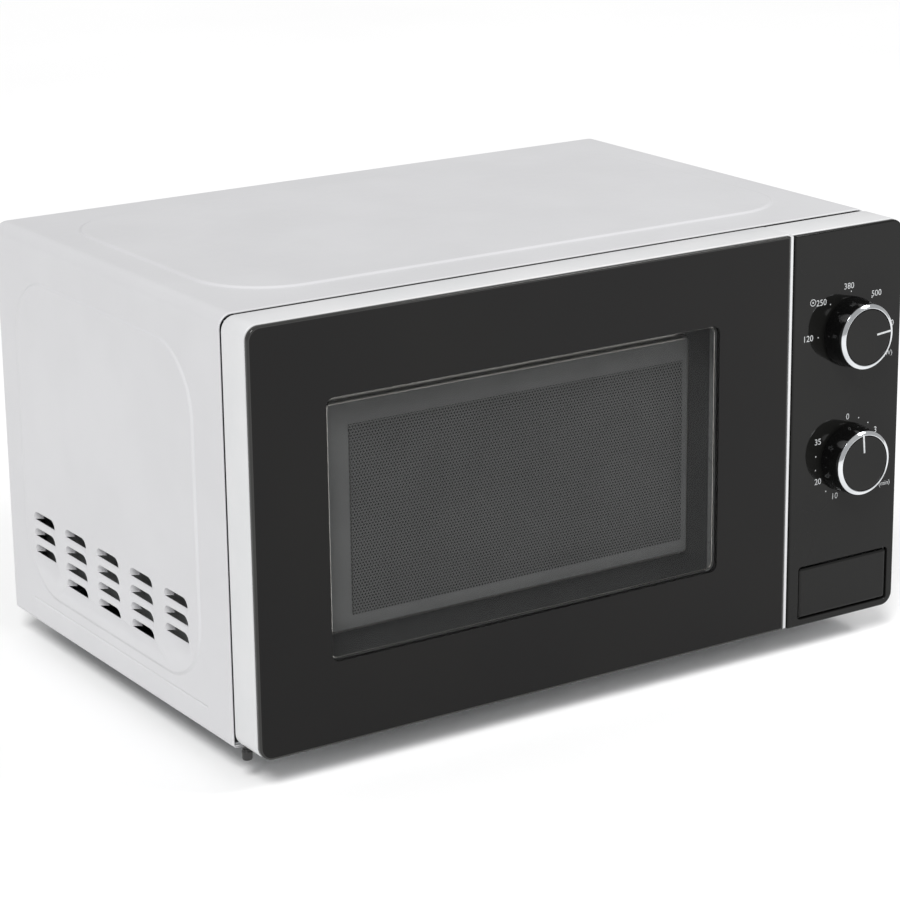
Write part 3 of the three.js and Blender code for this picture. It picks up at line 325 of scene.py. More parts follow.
def putPiece(name, bm, body, slot, materials=None, replaces=(), sharp=35, modifiers=()):
    bmesh.ops.remove_doubles(bm, verts=bm.verts, dist=0.002)
    wires = [edge for edge in bm.edges if not edge.link_faces]
    bmesh.ops.delete(bm, geom=wires, context="EDGES")
    bmesh.ops.recalc_face_normals(bm, faces=bm.faces)
    bmesh.ops.scale(bm, vec=(mm, mm, mm), verts=bm.verts)
    flat = bm.faces.layers.int["flat"]
    for face in bm.faces:
        face.smooth = not face[flat]
    mesh = bpy.data.meshes.new(name)
    bm.to_mesh(mesh)
    bm.free()
    mesh.attributes.remove(mesh.attributes["flat"])
    for key in materials or (slot,):
        mesh.materials.append(finish[key])
    mesh.set_sharp_from_angle(angle=math.radians(sharp))
    piece = bpy.data.objects.new(name, mesh)
    scene.collection.objects.link(piece)
    for kind, settings in modifiers:
        modifier = piece.modifiers.new(kind.lower(), kind)
        for key, value in settings.items():
            setattr(modifier, key, value)
    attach(piece, body)
    if replaces:
        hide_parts(*replaces)
    return piece


# A point of a flat drawing: across x its axes are y and z, across y they are
# x and z, and across z they are x and y. The level is its place along that axis.
def spot(axis, u, v, level):
    return {"x": (level, u, v), "y": (u, level, v), "z": (u, v, level)}[axis]


# A closed loop of edges round a rectangle with round corners, as a list of edges.
def ring(bm, axis, rect, corners, level, steps=6):
    u0, u1, v0, v1 = rect
    radii = corners if isinstance(corners, (list, tuple)) else [corners] * 4
    before = set(bm.edges)
    places = ((u0, v0), (u1, v0), (u1, v1), (u0, v1))
    points = [bm.verts.new(spot(axis, *place, level)) for place in places]
    bm.faces.new(points)
    for point, radius in zip(points, radii):
        bmesh.ops.bevel(
            bm,
            geom=[point],
            offset=max(radius, 0.05),
            offset_type="OFFSET",
            segments=steps,
            profile=0.5,
            affect="VERTICES",
            material=-1,
        )
    edges = [edge for edge in bm.edges if edge not in before]
    faces = list({face for edge in edges for face in edge.link_faces})
    bmesh.ops.delete(bm, geom=faces, context="FACES_ONLY")
    return edges


def shrunk(corners, by):
    radii = corners if isinstance(corners, (list, tuple)) else [corners] * 4
    return [max(radius - by, 0.3) for radius in radii]


# Rings that step from one (inset, level) to the next, each bridged to the one before.
def stack(bm, axis, rect, corners, profile, steps=6, material=0):
    rings = [
        ring(bm, axis, grown(rect, -inset), shrunk(corners, inset), level, steps)
        for inset, level in profile
    ]
    for first, second in zip(rings, rings[1:]):
        for face in bmesh.ops.bridge_loops(bm, edges=first + second)["faces"]:
            face.material_index = material
    return rings


def fill(bm, *loops, material=0):
    edges = [edge for loop in loops for edge in loop]
    made = bmesh.ops.triangle_fill(bm, use_beauty=True, use_dissolve=False, edges=edges)["geom"]
    flat = bm.faces.layers.int["flat"]
    for face in made:
        if isinstance(face, bmesh.types.BMFace):
            face.material_index = material
            face[flat] = 1


# The rim of a plate: round its front edge, along its side, round its rear edge.
def roundedRim(front, rear, radius, steps=3):
    turn = 1 if rear > front else -1
    quarter = [math.pi / 2 * i / steps for i in range(steps + 1)]
    first = [(radius * (1 - math.sin(a)), front + turn * radius * (1 - math.cos(a))) for a in quarter]
    first.insert(0, (radius + 0.5, front))
    return first + [(inset, rear - (level - front)) for inset, level in reversed(first)]


# The outer skin of a moulded box, its front edge eased more softly than its rear one.
def mouldedRim(bm, rect, corners, front, rear):
    profile = [(1.8, 0), (1.1, 0), (0.45, 0.15), (0.1, 0.5), (0, 1.1)]
    profile = [(inset, front + level) for inset, level in profile]
    back = [(0, 1.3), (0.15, 0.6), (0.5, 0.15), (1.0, 0), (1.6, 0)]
    return stack(bm, "y", rect, corners, profile + [(inset, rear - level) for inset, level in back])


def addPlate(bm, axis, rect, corners, front, rear, radius):
    rings = stack(bm, axis, rect, corners, roundedRim(front, rear, radius))
    fill(bm, rings[0])
    fill(bm, rings[-1])


def addBox(bm, low, high, radius=0.6, steps=2):
    made = bmesh.ops.create_cube(bm, size=1)["verts"]
    low, high = Vector(low), Vector(high)
    bmesh.ops.scale(bm, vec=high - low, verts=made)
    bmesh.ops.translate(bm, vec=(low + high) / 2, verts=made)
    bmesh.ops.bevel(
        bm,
        geom=list({edge for vert in made for edge in vert.link_edges}),
        offset=radius,
        offset_type="OFFSET",
        segments=steps,
        profile=0.5,
        affect="EDGES",
        material=-1,
    )


# A profile of (radius, along) points turned round an axis through a centre.
def addTurned(bm, profile, centre, axis, steps=64, closed=False, material=0):
    along = {"x": Vector((1, 0, 0)), "y": Vector((0, 1, 0)), "z": Vector((0, 0, 1))}[axis]
    out = Vector((0, 0, 1)) if axis != "z" else Vector((1, 0, 0))
    centre = Vector(centre)
    points = [bm.verts.new(centre + out * radius + along * level) for radius, level in profile]
    ends = points[1:] + points[:1] if closed else points[1:]
    edges = [bm.edges.new(pair) for pair in zip(points, ends)]
    before = set(bm.faces)
    bmesh.ops.spin(
        bm,
        geom=points + edges,
        cent=centre,
        axis=along,
        angle=2 * math.pi,
        steps=steps,
        use_merge=True,
    )
    for face in bm.faces:
        if face not in before:
            face.material_index = material


def addRod(bm, axis, radius, start, end, centre, edge=0.3):
    profile = [(0, start), (radius - edge, start), (radius, start + edge)]
    profile += [(radius, end - edge), (radius - edge, end), (0, end)]
    addTurned(bm, profile, centre, axis, 24)


# Takes the cutter's solid out of a finished piece.
def cutAway(piece, cutter):
    mesh = bpy.data.meshes.new("cutter")
    bmesh.ops.recalc_face_normals(cutter, faces=cutter.faces)
    bmesh.ops.scale(cutter, vec=(mm, mm, mm), verts=cutter.verts)
    cutter.to_mesh(mesh)
    cutter.free()
    tool = bpy.data.objects.new("cutter", mesh)
    scene.collection.objects.link(tool)
    cut = piece.modifiers.new("cut", "BOOLEAN")
    cut.object = tool
    cut.solver = "EXACT"
    depsgraph = bpy.context.evaluated_depsgraph_get()
    done = bpy.data.meshes.new_from_object(piece.evaluated_get(depsgraph))
    piece.modifiers.clear()
    old = piece.data
    piece.data = done
    done.name = piece.name
    bpy.data.meshes.remove(old)
    bpy.data.objects.remove(tool)
    bpy.data.meshes.remove(mesh)


# ---- cabinet
cabinet = {
    "bend": 9.0,
    "emboss": 1.0,  # the pressed fields stand this proud of the sheet
    "slope": 2.4,  # width of the fields' sloping edge
    "sideField": (31, 251, 21, 216),  # from the front edge and the lower edge
    "sideCorner": 40,
    "topField": (26, 414, 28, 247),  # from the left side and the front edge
    "topCorner": 45,
    "flange": 12,
    "setback": 1.6,  # leaves an open seam behind the door
    "frontTrim": 3.4,  # the front plate is cut back by this much
    "sheet": 0.8,
    "louvre": (28, 5.5),
    "louvreDepth": 4.4,
    "louvreMouth": 2.4,  # height left open at the lip
    "louvreCuts": (66.3, 56.1, 45.9, 35.7),
    "louvreColumns": ((224, 3), (182.7, 4), (141.4, 4), (100.1, 4), (58.8, 3)),
}


def cabinetPath(inset):
    bend = cabinet["bend"] - inset
    left, right = cabinetLow.x + inset, cabinetHigh.x - inset
    low, high = cabinetLow.z, cabinetHigh.z - inset
    points = [(left + cabinet["flange"], low), (left + 2.5, low)]
    points += [(left + 1.5 - 1.5 * math.sin(a), low + 1.5 - 1.5 * math.cos(a)) for a in (0.3, 0.8, 1.25)]
    points += [(left, low + 2.5), (left, high - bend - 1)]
    for i in range(9):
        angle = math.pi / 2 * i / 8
        points.append((left + bend - bend * math.cos(angle), high - bend + bend * math.sin(angle)))
    points.append((left + bend + 1, high))
    middle = (left + right) / 2
    return points + [(2 * middle - x, z) for x, z in reversed(points)]


def cabinetSection(bm, inset, y):
    points = [bm.verts.new((x, y, z)) for x, z in cabinetPath(inset)]
    return [bm.edges.new(pair) for pair in zip(points, points[1:])]


# A pressed field: a smooth step round a rectangle, proud of the sheet.
def pressField(bm, axis, rect, corner, base, top):
    rise = top - base
    slope = cabinet["slope"]
    steps = ((0, 0), (0.25, 0.12), (0.5, 0.5), (0.75, 0.88), (1, 1))
    profile = [(slope * part, base + rise * share) for part, share in steps]
    profile = [(-0.6, base)] + profile + [(slope + 0.6, top)]
    rings = stack(bm, axis, rect, corner, profile, 10)
    return rings[0], rings[-1]


# A louvre: a straight cut with the sheet above it pushed in to a hood.
def pressLouvre(bm, y, z, level, inward):
    length, height = cabinet["louvre"]
    rings = []
    for part in (0, 0, 0.1, 0.3, 0.55, 0.8, 1):
        half = length / 2 - 4 * part
        tall = height - (height - cabinet["louvreMouth"]) * part
        corner = min(5.2 * (1 - 0.7 * part), tall * 0.92)
        depth = cabinet["louvreDepth"] * math.sin(part * math.pi / 2)
        flat = 0 if rings else 0.4  # the first ring lies flat on the sheet, round the rest
        rect = (y - half - flat, y + half + flat, z, z + tall + flat)
        rings.append(ring(bm, "x", rect, (0.3, 0.3, corner, corner), level + inward * depth, 5))
    for first, second in zip(rings, rings[1:]):
        bmesh.ops.bridge_loops(bm, edges=first + second)
    under = [f for f in bm.faces if all(abs(v.co.z - z) < 0.06 for v in f.verts)]
    bmesh.ops.delete(bm, geom=under, context="FACES_ONLY")
    return rings[0]


def buildCabinet():
    bm = startMesh()
    front, rear = cabinetLow.y + cabinet["setback"], cabinetHigh.y
    proud = cabinet["emboss"]
    profile = [(1.0, 0.5), (0.95, 0.15), (0.65, 0), (0.3, 0.15), (0.08, 0.6), (0, 1.2), (0, 1.9)]
    sections = [cabinetSection(bm, proud + inset, front + y) for inset, y in profile]
    profile = [(0, 2.3), (0, 1.5), (0.2, 0.4), (0.5, 0)]
    sections += [cabinetSection(bm, proud + inset, rear - y) for inset, y in profile]
    for first, second in zip(sections, sections[1:]):
        bmesh.ops.bridge_loops(bm, edges=first + second)
    flats = [face for face in bm.faces if face.calc_area() > 20000]
    for face in flats:
        border = list(face.edges)
        centre = face.calc_center_median()
        bmesh.ops.delete(bm, geom=[face], context="FACES_ONLY")
        if abs(centre.x) < 100:
            left, right, near, far = cabinet["topField"]
            rect = (cabinetLow.x + left, cabinetLow.x + right, front + near, front + far)
            outer, inner = pressField(
                bm, "z", rect, cabinet["topCorner"], cabinetHigh.z - proud, cabinetHigh.z
            )
            fill(bm, border, outer)
            fill(bm, inner)
            continue
        sign = 1 if centre.x > 0 else -1
        near, far, low, high = cabinet["sideField"]
        rect = (front + near, front + far, cabinetLow.z + low, cabinetLow.z + high)
        skin = cabinetHigh.x if sign > 0 else cabinetLow.x
        outer, inner = pressField(bm, "x", rect, cabinet["sideCorner"], skin - sign * proud, skin)
        crease = pressCrease(bm, skin - sign * proud, sign)
        fill(bm, border, outer, crease)
        holes = []
        if sign < 0:
            for y, count in cabinet["louvreColumns"]:
                for cut in cabinet["louvreCuts"][:count]:
                    holes += pressLouvre(bm, front + y, cabinetLow.z + cut, skin, 1)
        fill(bm, inner, holes)
    solid = ("SOLIDIFY", {"thickness": cabinet["sheet"] * mm, "offset": -1.0})
    putPiece(
        "cabinet_wrap",
        bm,
        "oven_body",
        "white_paint",
        replaces=["outer_cabinet"],
        sharp=50,
        modifiers=[solid],
    )


# A shallow crease along the foot of the side, where the sheet meets the base.
def pressCrease(bm, skin, sign):
    front = cabinetLow.y
    rect = (front + 29, front + 247, cabinetLow.z + 13.3, cabinetLow.z + 15.3)
    profile = [(-0.4, skin), (0, skin), (0.35, skin - sign * 0.12), (0.7, skin - sign * 0.3)]
    rings = stack(bm, "x", rect, 0.95, profile, 4)
    fill(bm, rings[-1])
    return rings[0]


# The painted front plate, cut back a little all round so the seam reads dark.
def buildFrontPlate():
    bm = startMesh()
    bm.from_mesh(bpy.data.objects["front_frame"].data)
    bmesh.ops.remove_doubles(bm, verts=bm.verts, dist=0.01 * mm)
    bmesh.ops.scale(bm, vec=(1 / mm, 1 / mm, 1 / mm), verts=bm.verts)
    low, high = boxOf("front_frame")
    trim = cabinet["frontTrim"]
    planes = [((low.x + trim, 0, 0), (-1, 0, 0)), ((high.x - trim, 0, 0), (1, 0, 0))]
    planes += [((0, 0, low.z + trim), (0, 0, -1)), ((0, 0, high.z - trim), (0, 0, 1))]
    for place, normal in planes:
        geom = bm.verts[:] + bm.edges[:] + bm.faces[:]
        cut = bmesh.ops.bisect_plane(
            bm, geom=geom, plane_co=place, plane_no=normal, clear_outer=True
        )["geom_cut"]
        edges = [item for item in cut if isinstance(item, bmesh.types.BMEdge)]
        bmesh.ops.holes_fill(bm, edges=edges, sides=0)
    putPiece("front_plate", bm, "oven_body", "white_paint", replaces=["front_frame"])


# Pan-head screws hold the rear panel: a domed head with a crossed recess.
def buildScrews():
    screw = {"head": 3.4, "dome": 1.7, "recess": 2.0, "slot": 0.75, "edge": 9}
    bm = startMesh()
    low, high = boxOf("rear_panel")
    seat = low.y + 1.0
    edge = screw["edge"]
    places = [(x, z) for x in (low.x + edge, high.x - edge) for z in (60, 150, 238)]
    places += [(x, high.z - edge) for x in (-110, 0, 110)]
    places += [(x, low.z + edge) for x in (-130, 0, 130)]
    head = [(0, 0.9), (screw["recess"], 0.9), (screw["recess"] + 0.1, screw["dome"] - 0.1)]
    head += [(2.6, 1.45), (3.1, 0.95), (screw["head"], 0.35), (screw["head"], 0), (0, 0)]
    arm, slot = screw["recess"] * 0.7, screw["slot"]
    for x, z in places:
        addTurned(bm, head, (x, seat, z), "y", 24)
        for across, up in ((arm, slot), (slot, arm)):
            addBox(bm, (x - across, seat + 0.5, z - up), (x + across, seat + 1.0, z + up), 0.1, 1)
    putPiece("casing_screws", bm, "oven_body", "zinc_steel")


buildCabinet()
buildFrontPlate()
buildScrews()
print("cabinet done")


# ---- door
door = {
    "corner": 8.0,
    "meeting": 1.0,
    "wall": 2.0,
    "hinge": 12.0,  # solid strip on the hinge side
    "pinBore": 2.05,
    "seam": 1.2,  # the rim stops short of the casing by this much
    "frameFront": -146.6,
    "pocketFloor": -144.6,
    "screenMargin": 9,  # from the window to the screen's raised field
    "screenHoles": (22.6, 13.9, 17.5, 21.7),  # margins from the window to the punched field
    "holePitch": 1.9,
    "holeWidth": 1.08,
}
doorCorners = (door["corner"], door["meeting"], door["meeting"], door["corner"])


def buildDoorFrame():
    bm = startMesh()
    rect = faceRect(frameLow, frameHigh)
    front, rear = door["frameFront"], frameHigh.y - door["seam"]
    outer = mouldedRim(bm, rect, doorCorners, front, rear)
    wall = door["wall"]
    pocket = (rect[0] + door["hinge"], rect[1] - wall, rect[2] + wall, rect[3] - wall)
    inner = stack(bm, "y", pocket, shrunk(doorCorners, wall), [(0, rear), (0, door["pocketFloor"])])
    hole = stack(bm, "y", grown(window, 2), 4, [(0, front), (0, door["pocketFloor"])])
    fill(bm, outer[0], hole[0])
    fill(bm, outer[-1], inner[0])
    fill(bm, inner[1], hole[1])
    # The strip that shows beside the glass, where the door meets the panel.
    stripLow = (glassHigh.x + 0.3, glassLow.y + 0.2, rect[2] + 0.4)
    addBox(bm, stripLow, (rect[1], front + 1, rect[3] - 0.8), 0.35)
    piece = putPiece("door_frame_moulding", bm, "door", "white_plastic", replaces=["door_frame"])
    # Room for the upper arm, and the bores for both pins.
    cutter = startMesh()
    armTop = armHigh.z
    roomLow = (hingePin.x - 3.6, hingePin.y - 3.6, armTop - 1.4)
    addBox(cutter, roomLow, (frameLow.x + 30, rear + 1, armTop + 0.4), 0.2)
    for start, end in ((armTop - 11, armTop), (frameLow.z - 1, frameLow.z + 10)):
        addRod(cutter, "z", door["pinBore"], start, end, hingePin)
    cutAway(piece, cutter)


def buildDoorGlass():
    bm = startMesh()
    profile = roundedRim(glassLow.y, glassHigh.y, 0.8)
    rings = stack(bm, "y", faceRect(glassLow, glassHigh), doorCorners, profile, 10, material=2)
    for level, rim in ((glassLow.y, rings[0]), (glassHigh.y, rings[-1])):
        opening = ring(bm, "y", window, 4.5, level)
        fill(bm, rim, opening)
        fill(bm, opening, material=1)
    putPiece(
        "door_glass_pane",
        bm,
        "door",
        "black_glass",
        materials=["black_glass", "window_glass", "glass_edge"],
        replaces=["door_glass"],
    )


# The punched field: one six-sided cell with a hole, copied by doubling.
def addPunchedField(bm, rect, level):
    pitch = door["holePitch"]
    radius = pitch / math.sqrt(3)
    rise = 1.5 * radius
    u0, u1, v0, v1 = rect
    turn = Matrix.Rotation(math.pi / 2, 4, "X") @ Matrix.Rotation(math.pi / 6, 4, "Z")
    start = Matrix.Translation((u0 + pitch / 2, level, v0 + radius / 2)) @ turn
    cell = bmesh.new()
    bmesh.ops.create_circle(cell, cap_ends=True, segments=6, radius=radius, matrix=start)
    face = list(cell.faces)
    thickness = (pitch - door["holeWidth"]) / 2
    bmesh.ops.inset_individual(cell, faces=face, thickness=thickness, use_even_offset=True)
    bmesh.ops.delete(cell, geom=face, context="FACES")
    columns = math.floor((u1 - u0) / pitch)
    rows = math.floor((v1 - v0) / rise)

    def double(count, step):
        have = 1
        while have < count:
            geom = cell.verts[:] + cell.edges[:] + cell.faces[:]
            copy = bmesh.ops.duplicate(cell, geom=geom)["geom"]
            moved = [item for item in copy if isinstance(item, bmesh.types.BMVert)]
            bmesh.ops.translate(cell, vec=Vector(step) * have, verts=moved)
            have *= 2

    double(columns, (pitch, 0, 0))
    geom = cell.verts[:] + cell.edges[:] + cell.faces[:]
    copy = bmesh.ops.duplicate(cell, geom=geom)["geom"]
    moved = [item for item in copy if isinstance(item, bmesh.types.BMVert)]
    bmesh.ops.translate(cell, vec=(pitch / 2, 0, rise), verts=moved)
    double(math.ceil(rows / 2), (0, 0, 2 * rise))
    outside = [
        vert
        for vert in cell.verts
        if vert.co.x > u1 + pitch * 0.6 or vert.co.z > v1 + radius * 1.1
    ]
    bmesh.ops.delete(cell, geom=outside, context="VERTS")
    bmesh.ops.remove_doubles(cell, verts=cell.verts, dist=0.02)
    mesh = bpy.data.meshes.new("punched")
    cell.to_mesh(mesh)
    cell.free()
    bm.from_mesh(mesh)
    bpy.data.meshes.remove(mesh)


def buildDoorScreen():
    bm = startMesh()
    margin = door["screenMargin"]
    front = screenLow.y
    flange = screenHigh.y - 0.8
    raised = (*grown(window, -margin)[:3], window[3] - margin + 0.6)
    profile = [(-1.6, flange), (-0.7, flange - 0.25), (-0.25, flange - 0.9), (0, front + 1.2)]
    profile += [(0.15, front + 0.6), (0.5, front + 0.15), (1.1, front)]
    rings = stack(bm, "y", raised, 3, profile, material=2)
    left, right, low, high = door["screenHoles"]
    field = (window[0] + left, window[1] - right, window[2] + low, window[3] - high)
    fill(bm, rings[-1], ring(bm, "y", field, 0.05, front, 1))
    edge = ring(bm, "y", faceRect(screenLow, screenHigh), 3.7, flange)
    fill(bm, edge, rings[0], material=1)
    addPunchedField(bm, field, front - 0.02)
    # The step round the raised field takes the bright metal as a painted highlight, and the flange the
    # darker grey as painted shade.
    layers = ["screen_paint", "screen_flange", "bright_edge"]
    putPiece("door_screen_sheet", bm, "door", "grey_enamel", layers, ["door_screen"])


# A thin bead round the window, behind the glass, in the bright metal that paints a highlight line.
def buildWindowBead():
    bead = {"inset": 0.9, "radius": 0.45, "behind": 0.5}
    bm = startMesh()
    middle, radius = glassHigh.y + bead["behind"], bead["radius"]
    angles = [2 * math.pi * i / 6 for i in range(7)]
    profile = [(radius * math.cos(a), middle + radius * math.sin(a)) for a in angles]
    stack(bm, "y", grown(window, -bead["inset"]), 4.5, profile)
    putPiece("window_bead", bm, "door", "chrome_plate", ["bright_edge"])


latch = {"bar": 6, "hook": 11, "neck": 7, "barb": 5, "reach": 6, "slotLow": 79}


def buildInnerCover():
    bm = startMesh()
    low, high = boxOf("door_inner_cover")
    front, rear = low.y - 1, high.y + 1
    addPlate(bm, "y", faceRect(low, high), shrunk(doorCorners, 2.3), low.y, high.y, 0.6)
    # The cover is drawn in black plastic so the seam behind the door reads dark: painted shade.
    piece = putPiece("door_choke_cover", bm, "door", "black_plastic", replaces=["door_inner_cover"])
    # Openings for the window, the upper arm and the two hooks, which rise as they let go.
    cutter = startMesh()
    addPlate(cutter, "y", grown(window, 4), 6, front, rear, 0.2)
    armRoom = ((frameLow.x + 10, front, armHigh.z - 2), (frameLow.x + 31, rear, armHigh.z + 1))
    addBox(cutter, *armRoom, 0.3)
    for bottom in (latch["slotLow"], latchHigh.z - latch["hook"]):
        addBox(cutter, (latchLow.x - 1, front, bottom - 1.5), (latchHigh.x + 1, rear, bottom + 16), 0.4)
    cutAway(piece, cutter)


# Two hooks on one bar, each a neck with a barb below it, as on a moulded latch.
def buildLatch():
    bm = startMesh()
    low, high = latchLow, latchHigh
    addBox(bm, low, (high.x, low.y + latch["bar"], high.z), 0.7)
    for bottom in (low.z, high.z - latch["hook"]):
        top = bottom + latch["hook"]
        addBox(bm, (low.x, low.y + 5, top - latch["neck"]), (high.x, high.y, top), 0.9)
        addBox(bm, (low.x, high.y - latch["reach"], bottom), (high.x, high.y, bottom + latch["barb"]), 0.8)
    putPiece("latch_hooks", bm, "door_latch", "white_plastic", replaces=["door_latch"])


# A cranked arm under the door with a pin up into it, and a round lug below the pin.
def buildLowerHinge():
    hinge = {"armWidth": 5, "reach": 15, "gap": 0.3, "sheet": 1, "pin": 1.8, "pinLength": 8}
    bm = startMesh()
    x, y = hingePin.x, hingePin.y
    top = frameLow.z - hinge["gap"]
    under, half, reach = top - hinge["sheet"], hinge["armWidth"] / 2, x + hinge["reach"]
    addPlate(bm, "z", (x - half, reach, y - half, y + half), (2.4, 0.4, 0.4, 2.4), under, top, 0.25)
    addBox(bm, (x + 8, y + 2, under), (reach, lugHigh.y, top), 0.25)
    addBox(bm, (x + 8.1, lugHigh.y - 1.1, top - 0.9), (reach - 0.1, lugHigh.y - 0.05, lugHigh.z), 0.25)
    addRod(bm, "z", hinge["pin"], top - 0.5, top + hinge["pinLength"], hingePin, edge=0.5)
    foot = lugLow.z
    lug = [(0, foot), (1.9, foot), (2.6, foot + 0.4), (2.9, foot + 1.2), (2.9, top - 1.4)]
    addTurned(bm, lug + [(2.5, under), (0, under)], hingePin, "z", 32)
    putPiece("lower_hinge_plate", bm, "oven_body", "black_plastic", replaces=["lower_hinge"])


buildDoorFrame()
buildDoorGlass()
buildDoorScreen()
buildWindowBead()
buildInnerCover()
buildLatch()
buildLowerHinge()
print("door done")


# ---- control panel
panelCorners = (door["meeting"], door["corner"], door["corner"], door["meeting"])
groove = 0.9  # round the button, and half as much again above it
buttonRect = faceRect(buttonLow, buttonHigh)
aperture = (*grown(buttonRect, groove)[:3], buttonHigh.z + 1.5 * groove)
shaftHole = 4
knobs = {
    "power": {"node": "power_knob", "turn": 85},
    "timer": {"node": "timer_knob", "turn": -5},
}


def knobCentre(name):
    low, high = boxOf(knobs[name]["node"])
    return Vector(((low.x + high.x) / 2, 0, (low.z + high.z) / 2))


# The openings of the panel: the button's and one round hole for each shaft.
def panelHoles(bm, profile):
    holes = [(aperture, 2)]
    for name in knobs:
        centre = knobCentre(name)
        square = grown((centre.x, centre.x, centre.z, centre.z), shaftHole)
        holes.append((square, shaftHole - 0.05))
    return [stack(bm, "y", hole, corner, profile) for hole, corner in holes]


def buildPanelInlay():
    bm = startMesh()
    front, rear = panelLow.y, panelHigh.y
    rect = faceRect(panelLow, panelHigh)
    rings = stack(bm, "y", rect, panelCorners, roundedRim(front, rear, 0.8), 10)
    inside = panelHoles(bm, [(-0.3, front), (0, front + 0.3), (0, rear)])
    fill(bm, rings[0], *[loops[0] for loops in inside])
    fill(bm, rings[-1], *[loops[-1] for loops in inside])
    putPiece(
        "control_panel_face",
        bm,
        "oven_body",
        "black_glass",
        materials=["panel_gloss"],
        replaces=["control_panel_inlay"],
    )


# The white box behind the face, open at the back, with a post for the lever's pin.
def buildPanelFrame():
    bm = startMesh()
    low, high = boxOf("control_panel_frame")
    rect = faceRect(low, high)
    wall = door["wall"]
    front, rear = low.y, high.y
    back = front + wall
    outer = mouldedRim(bm, rect, panelCorners, front, rear)
    inner = stack(bm, "y", grown(rect, -wall), shrunk(panelCorners, wall), [(0, rear), (0, back)])
    inside = panelHoles(bm, [(0, front), (0, back)])
    fill(bm, outer[0], *[loops[0] for loops in inside])
    fill(bm, outer[-1], inner[0])
    fill(bm, inner[1], *[loops[1] for loops in inside])
    addRod(bm, "x", 1.5, low.x + 1.5, buttonLow.x + 6, leverPin)
    putPiece("control_panel_box", bm, "oven_body", "white_plastic", replaces=["control_panel_frame"])


# A hollow cap with a post that reaches back to the lever.
def buildButton():
    button = {"deep": 9, "face": 2.5, "wall": 2, "post": 5, "postLow": 4, "postHigh": 12}
    bm = startMesh()
    front, left, low = buttonLow.y, buttonLow.x, buttonLow.z
    rear = front + button["deep"]
    profile = [(2.2, 0), (1.5, 0), (0.7, 0.12), (0.2, 0.5), (0, 1.2), (0, button["deep"])]
    outer = stack(bm, "y", buttonRect, 1.5, [(inset, front + level) for inset, level in profile])
    hollow = [(0, rear), (0, front + button["face"])]
    inner = stack(bm, "y", grown(buttonRect, -button["wall"]), 0.8, hollow)
    fill(bm, outer[0])
    fill(bm, outer[-1], inner[0])
    fill(bm, inner[1])
    postHigh = (left + button["post"], buttonHigh.y, low + button["postHigh"])
    addBox(bm, (left, front + 2, low + button["postLow"]), postHigh, 0.5)
    putPiece(
        "release_button_cap",
        bm,
        "release_button",
        "black_glass",
        materials=["panel_gloss"],
        replaces=["door_release_button"],
    )


# A tapered knob with a flat face, a chrome bevel round it and a painted pointer.
def buildKnob(name):
    knob = {"base": 20.8, "front": 19.3, "face": 16.6, "boss": 3.3, "pointer": (6.5, 17.7, 1.1)}
    base, rim, flat, boss = (knob[key] for key in ("base", "front", "face", "boss"))
    body = name + "_knob"
    low, high = boxOf(body)
    ringLow, ringHigh = boxOf(body + "_ring")
    centre = knobCentre(name)
    seat = ringHigh.y
    bm = startMesh()
    back, tip = high.y, low.y
    profile = [(0, back - 10.5), (boss, back - 10.5), (boss, back), (base - 0.7, back)]
    profile += [(base - 0.2, back - 0.25), (base, back - 0.8), (rim + 0.1, seat + 1.0)]
    profile += [(rim, seat + 0.5), (rim - 0.3, seat + 0.3), (flat, seat + 0.3)]
    addTurned(bm, profile, centre, "y", 96)
    face = [(flat, seat + 0.3), (flat, tip + 0.35), (flat - 0.15, tip + 0.1)]
    face += [(flat - 0.5, tip), (flat - 1, tip), (0, tip)]
    addTurned(bm, face, centre, "y", 96, material=1)
    putPiece(body + "_cap", bm, body, "black_plastic", ["knob_gloss", "panel_gloss"], [body])

    bm = startMesh()
    front = ringLow.y
    edge = [(16.9, seat), (rim - 0.1, seat), (rim, seat - 0.15), (rim, seat - 0.4)]
    edge += [(rim - 0.2, seat - 0.6), (17.6, front + 0.16), (17.3, front + 0.05), (16.95, front + 0.2)]
    addTurned(bm, edge, centre, "y", 128, closed=True)
    putPiece(body + "_bezel", bm, body, "chrome_plate", replaces=[body + "_ring"])

    bm = startMesh()
    start, end, width = knob["pointer"]
    addBox(bm, (-width / 2, front, start), (width / 2, tip + 0.1, end), 0.1)
    turn = Matrix.Rotation(math.radians(knobs[name]["turn"]), 3, "Y")
    bmesh.ops.rotate(bm, cent=(0, 0, 0), matrix=turn, verts=bm.verts)
    bmesh.ops.translate(bm, vec=(centre.x, 0, centre.z), verts=bm.verts)
    putPiece(body + "_pointer", bm, body, "white_plastic", materials=["ink"])


# Dial marks: each is (words, right of the dial's axis, above it), in millimetres.
dialMarks = {
    "power": {
        "words": (
            ("120", -31.3, 0.4),
            ("250", -22.3, 20.6),
            ("380", -1.7, 27.7),
            ("500", 19.3, 20.5),
            ("700", 29.5, 0.6),
            ("(W)", 29.5, -17.7),
        ),
        "dots": (-90, -40, 0, 41, 90),
    },
    "timer": {
        "words": (
            ("0", -0.2, 24.9),
            ("3", 21.4, 13.3),
            ("5", 26.0, -3.0),
            ("10", -8.3, -22.5),
            ("20", -21.8, -11.4),
            ("35", -22.5, 13.1),
            ("(min)", 29.8, -21.8),
        ),
        "dots": (20, 40, 220, 260, 280),
    },
    "size": 5.2,
    "dotCircle": 24.2,
    "dotRadius": 0.42,
}


# Turns a flat shape to face the front and puts it just clear of the panel.
def onPanel(x, z):
    return Matrix.Translation((x, panelLow.y - 0.03, z)) @ Matrix.Rotation(math.pi / 2, 4, "X")


